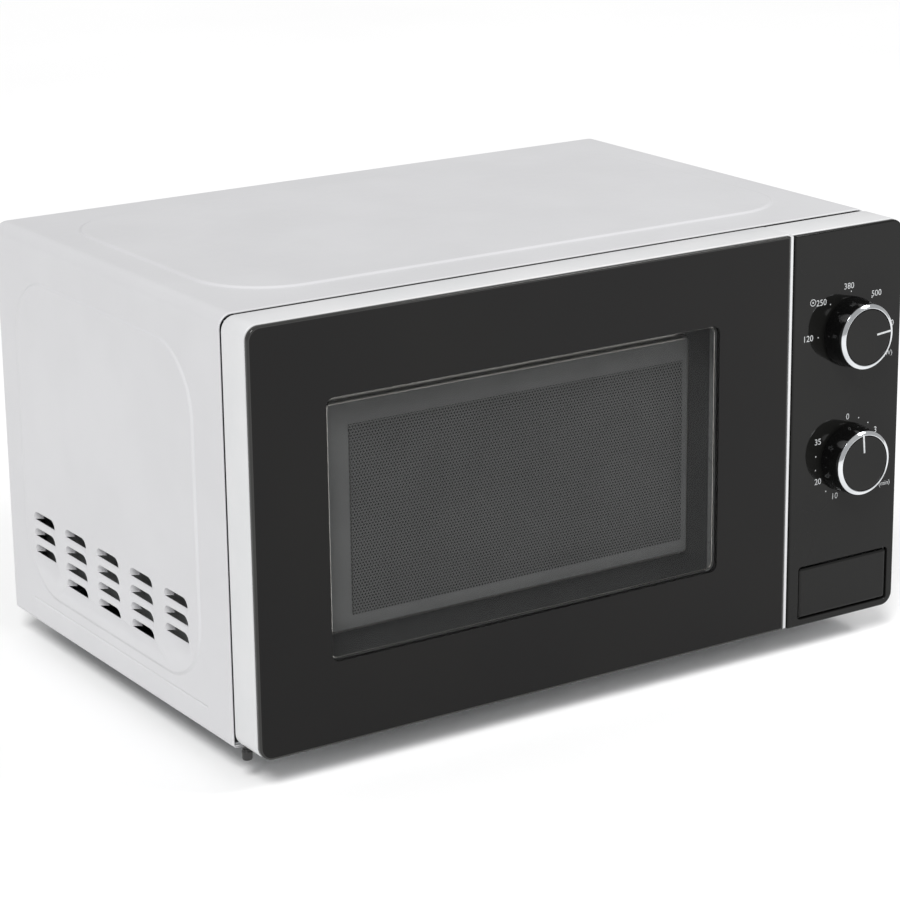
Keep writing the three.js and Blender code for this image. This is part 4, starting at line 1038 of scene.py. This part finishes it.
def printedWord(bm, word, x, z, size):
    curve = bpy.data.curves.new("word", "FONT")
    curve.body = word
    curve.size = size
    curve.align_x = "CENTER"
    curve.align_y = "CENTER"
    curve.resolution_u = 3
    text = bpy.data.objects.new("word", curve)
    scene.collection.objects.link(text)
    depsgraph = bpy.context.evaluated_depsgraph_get()
    mesh = bpy.data.meshes.new_from_object(text.evaluated_get(depsgraph))
    across, up = ([corner[i] for corner in text.bound_box] for i in (0, 1))
    middle = Matrix.Translation((-(min(across) + max(across)) / 2, -(min(up) + max(up)) / 2, 0))
    mesh.transform(onPanel(x, z) @ middle)
    bm.from_mesh(mesh)
    bpy.data.objects.remove(text)
    bpy.data.curves.remove(curve)
    bpy.data.meshes.remove(mesh)


def buildDialMarks(name):
    bm = startMesh()
    centre = knobCentre(name)
    marks = dialMarks[name]
    for word, right, above in marks["words"]:
        size = dialMarks["size"] * (0.8 if word.startswith("(") else 1)
        printedWord(bm, word, centre.x + right, centre.z + above, size)
    for angle in marks["dots"]:
        turn = math.radians(angle)
        x = centre.x + dialMarks["dotCircle"] * math.sin(turn)
        z = centre.z + dialMarks["dotCircle"] * math.cos(turn)
        radius = dialMarks["dotRadius"]
        bmesh.ops.create_circle(bm, cap_ends=True, segments=12, radius=radius, matrix=onPanel(x, z))
    if name == "power":
        addDefrostMark(bm, centre.x - 28.6, centre.z + 21.4)
    putPiece(name + "_dial_print", bm, "oven_body", "white_plastic", materials=["ink"])


# A plain ring and dot beside the defrost step.
def addDefrostMark(bm, x, z):
    place = onPanel(x, z)
    bmesh.ops.create_circle(bm, cap_ends=True, segments=12, radius=0.55, matrix=place)
    made = bmesh.ops.create_circle(bm, cap_ends=True, segments=24, radius=2.1, matrix=place)["verts"]
    face = [f for f in made[0].link_faces if len(f.verts) == 24]
    bmesh.ops.inset_region(bm, faces=face, thickness=0.4, use_boundary=True)
    bmesh.ops.delete(bm, geom=face, context="FACES")


buildPanelInlay()
buildPanelFrame()
buildButton()
for knobName in knobs:
    buildKnob(knobName)
    buildDialMarks(knobName)
print("control panel done")


# ---- CAD nodes that stay get their finish by the record's slots
for row in frame["record"]["subparts"]:
    node = bpy.data.objects[row["node"]]
    node.data.materials.clear()
    node.data.materials.append(finish[row["material_slot"]])
print("carried-over nodes finished")


# ---- stage
def buildFloor():
    bm = startMesh()
    bmesh.ops.create_grid(bm, x_segments=4, y_segments=4, size=6)
    mesh = bpy.data.meshes.new("floor")
    bm.to_mesh(mesh)
    bm.free()
    paper = (cloudy(400, 2), "#f6f6f6", "#f8f8f8")
    mesh.materials.append(makeMaterial("seamless paper, white", {"Roughness": 0.9}, paper))
    floor = bpy.data.objects.new("floor", mesh)
    scene.collection.objects.link(floor)


def addLamp(name, kind, power, toward, settings):
    light = bpy.data.lights.new(name, kind)
    light.energy = power
    for key, value in settings.items():
        setattr(light, key, value)
    lamp = bpy.data.objects.new(name, light)
    lamp.rotation_euler = toward.to_track_quat("Z", "Y").to_euler()
    scene.collection.objects.link(lamp)
    return lamp


def buildLights():
    key = {"from": (-0.458, -0.49, 0.74), "strength": 2.4, "spread": 24}
    edge = {"place": (1.1, -1.1, 1.5), "aim": (0, -0.14, 0.2), "size": 0.5, "power": 11}
    world = bpy.data.worlds.new("studio")
    world.use_nodes = True
    sky = world.node_tree.nodes["Background"].inputs
    sky["Color"].default_value = (1, 1, 1, 1)
    sky["Strength"].default_value = 0.5
    scene.world = world
    spread = {"angle": math.radians(key["spread"])}
    addLamp("key", "SUN", key["strength"], Vector(key["from"]), spread)
    # A softbox high on the right draws the bright lines on edges and bezels.
    toward = Vector(edge["place"]) - Vector(edge["aim"])
    lamp = addLamp("edge", "AREA", edge["power"], toward, {"size": edge["size"]})
    lamp.location = edge["place"]


def buildCamera():
    view = {
        "place": (-0.9253, -1.4322, 0.6354),
        "heading": 32.841,
        "down": 16.911,
        "roll": -0.752,
        "lens": 118.79,
    }
    heading, down, roll = (math.radians(view[key]) for key in ("heading", "down", "roll"))
    ahead = math.cos(down)
    forward = Vector((math.sin(heading) * ahead, math.cos(heading) * ahead, -math.sin(down)))
    level = Vector((math.cos(heading), -math.sin(heading), 0))
    upward = level.cross(forward)
    right = level * math.cos(roll) + upward * math.sin(roll)
    up = -level * math.sin(roll) + upward * math.cos(roll)
    lens = bpy.data.cameras.new("camera")
    lens.lens = view["lens"]
    camera = bpy.data.objects.new("camera", lens)
    turn = Matrix((right, up, -forward)).transposed().to_4x4()
    camera.matrix_world = Matrix.Translation(view["place"]) @ turn
    scene.collection.objects.link(camera)
    scene.camera = camera


buildFloor()
buildLights()
buildCamera()
print("stage done")
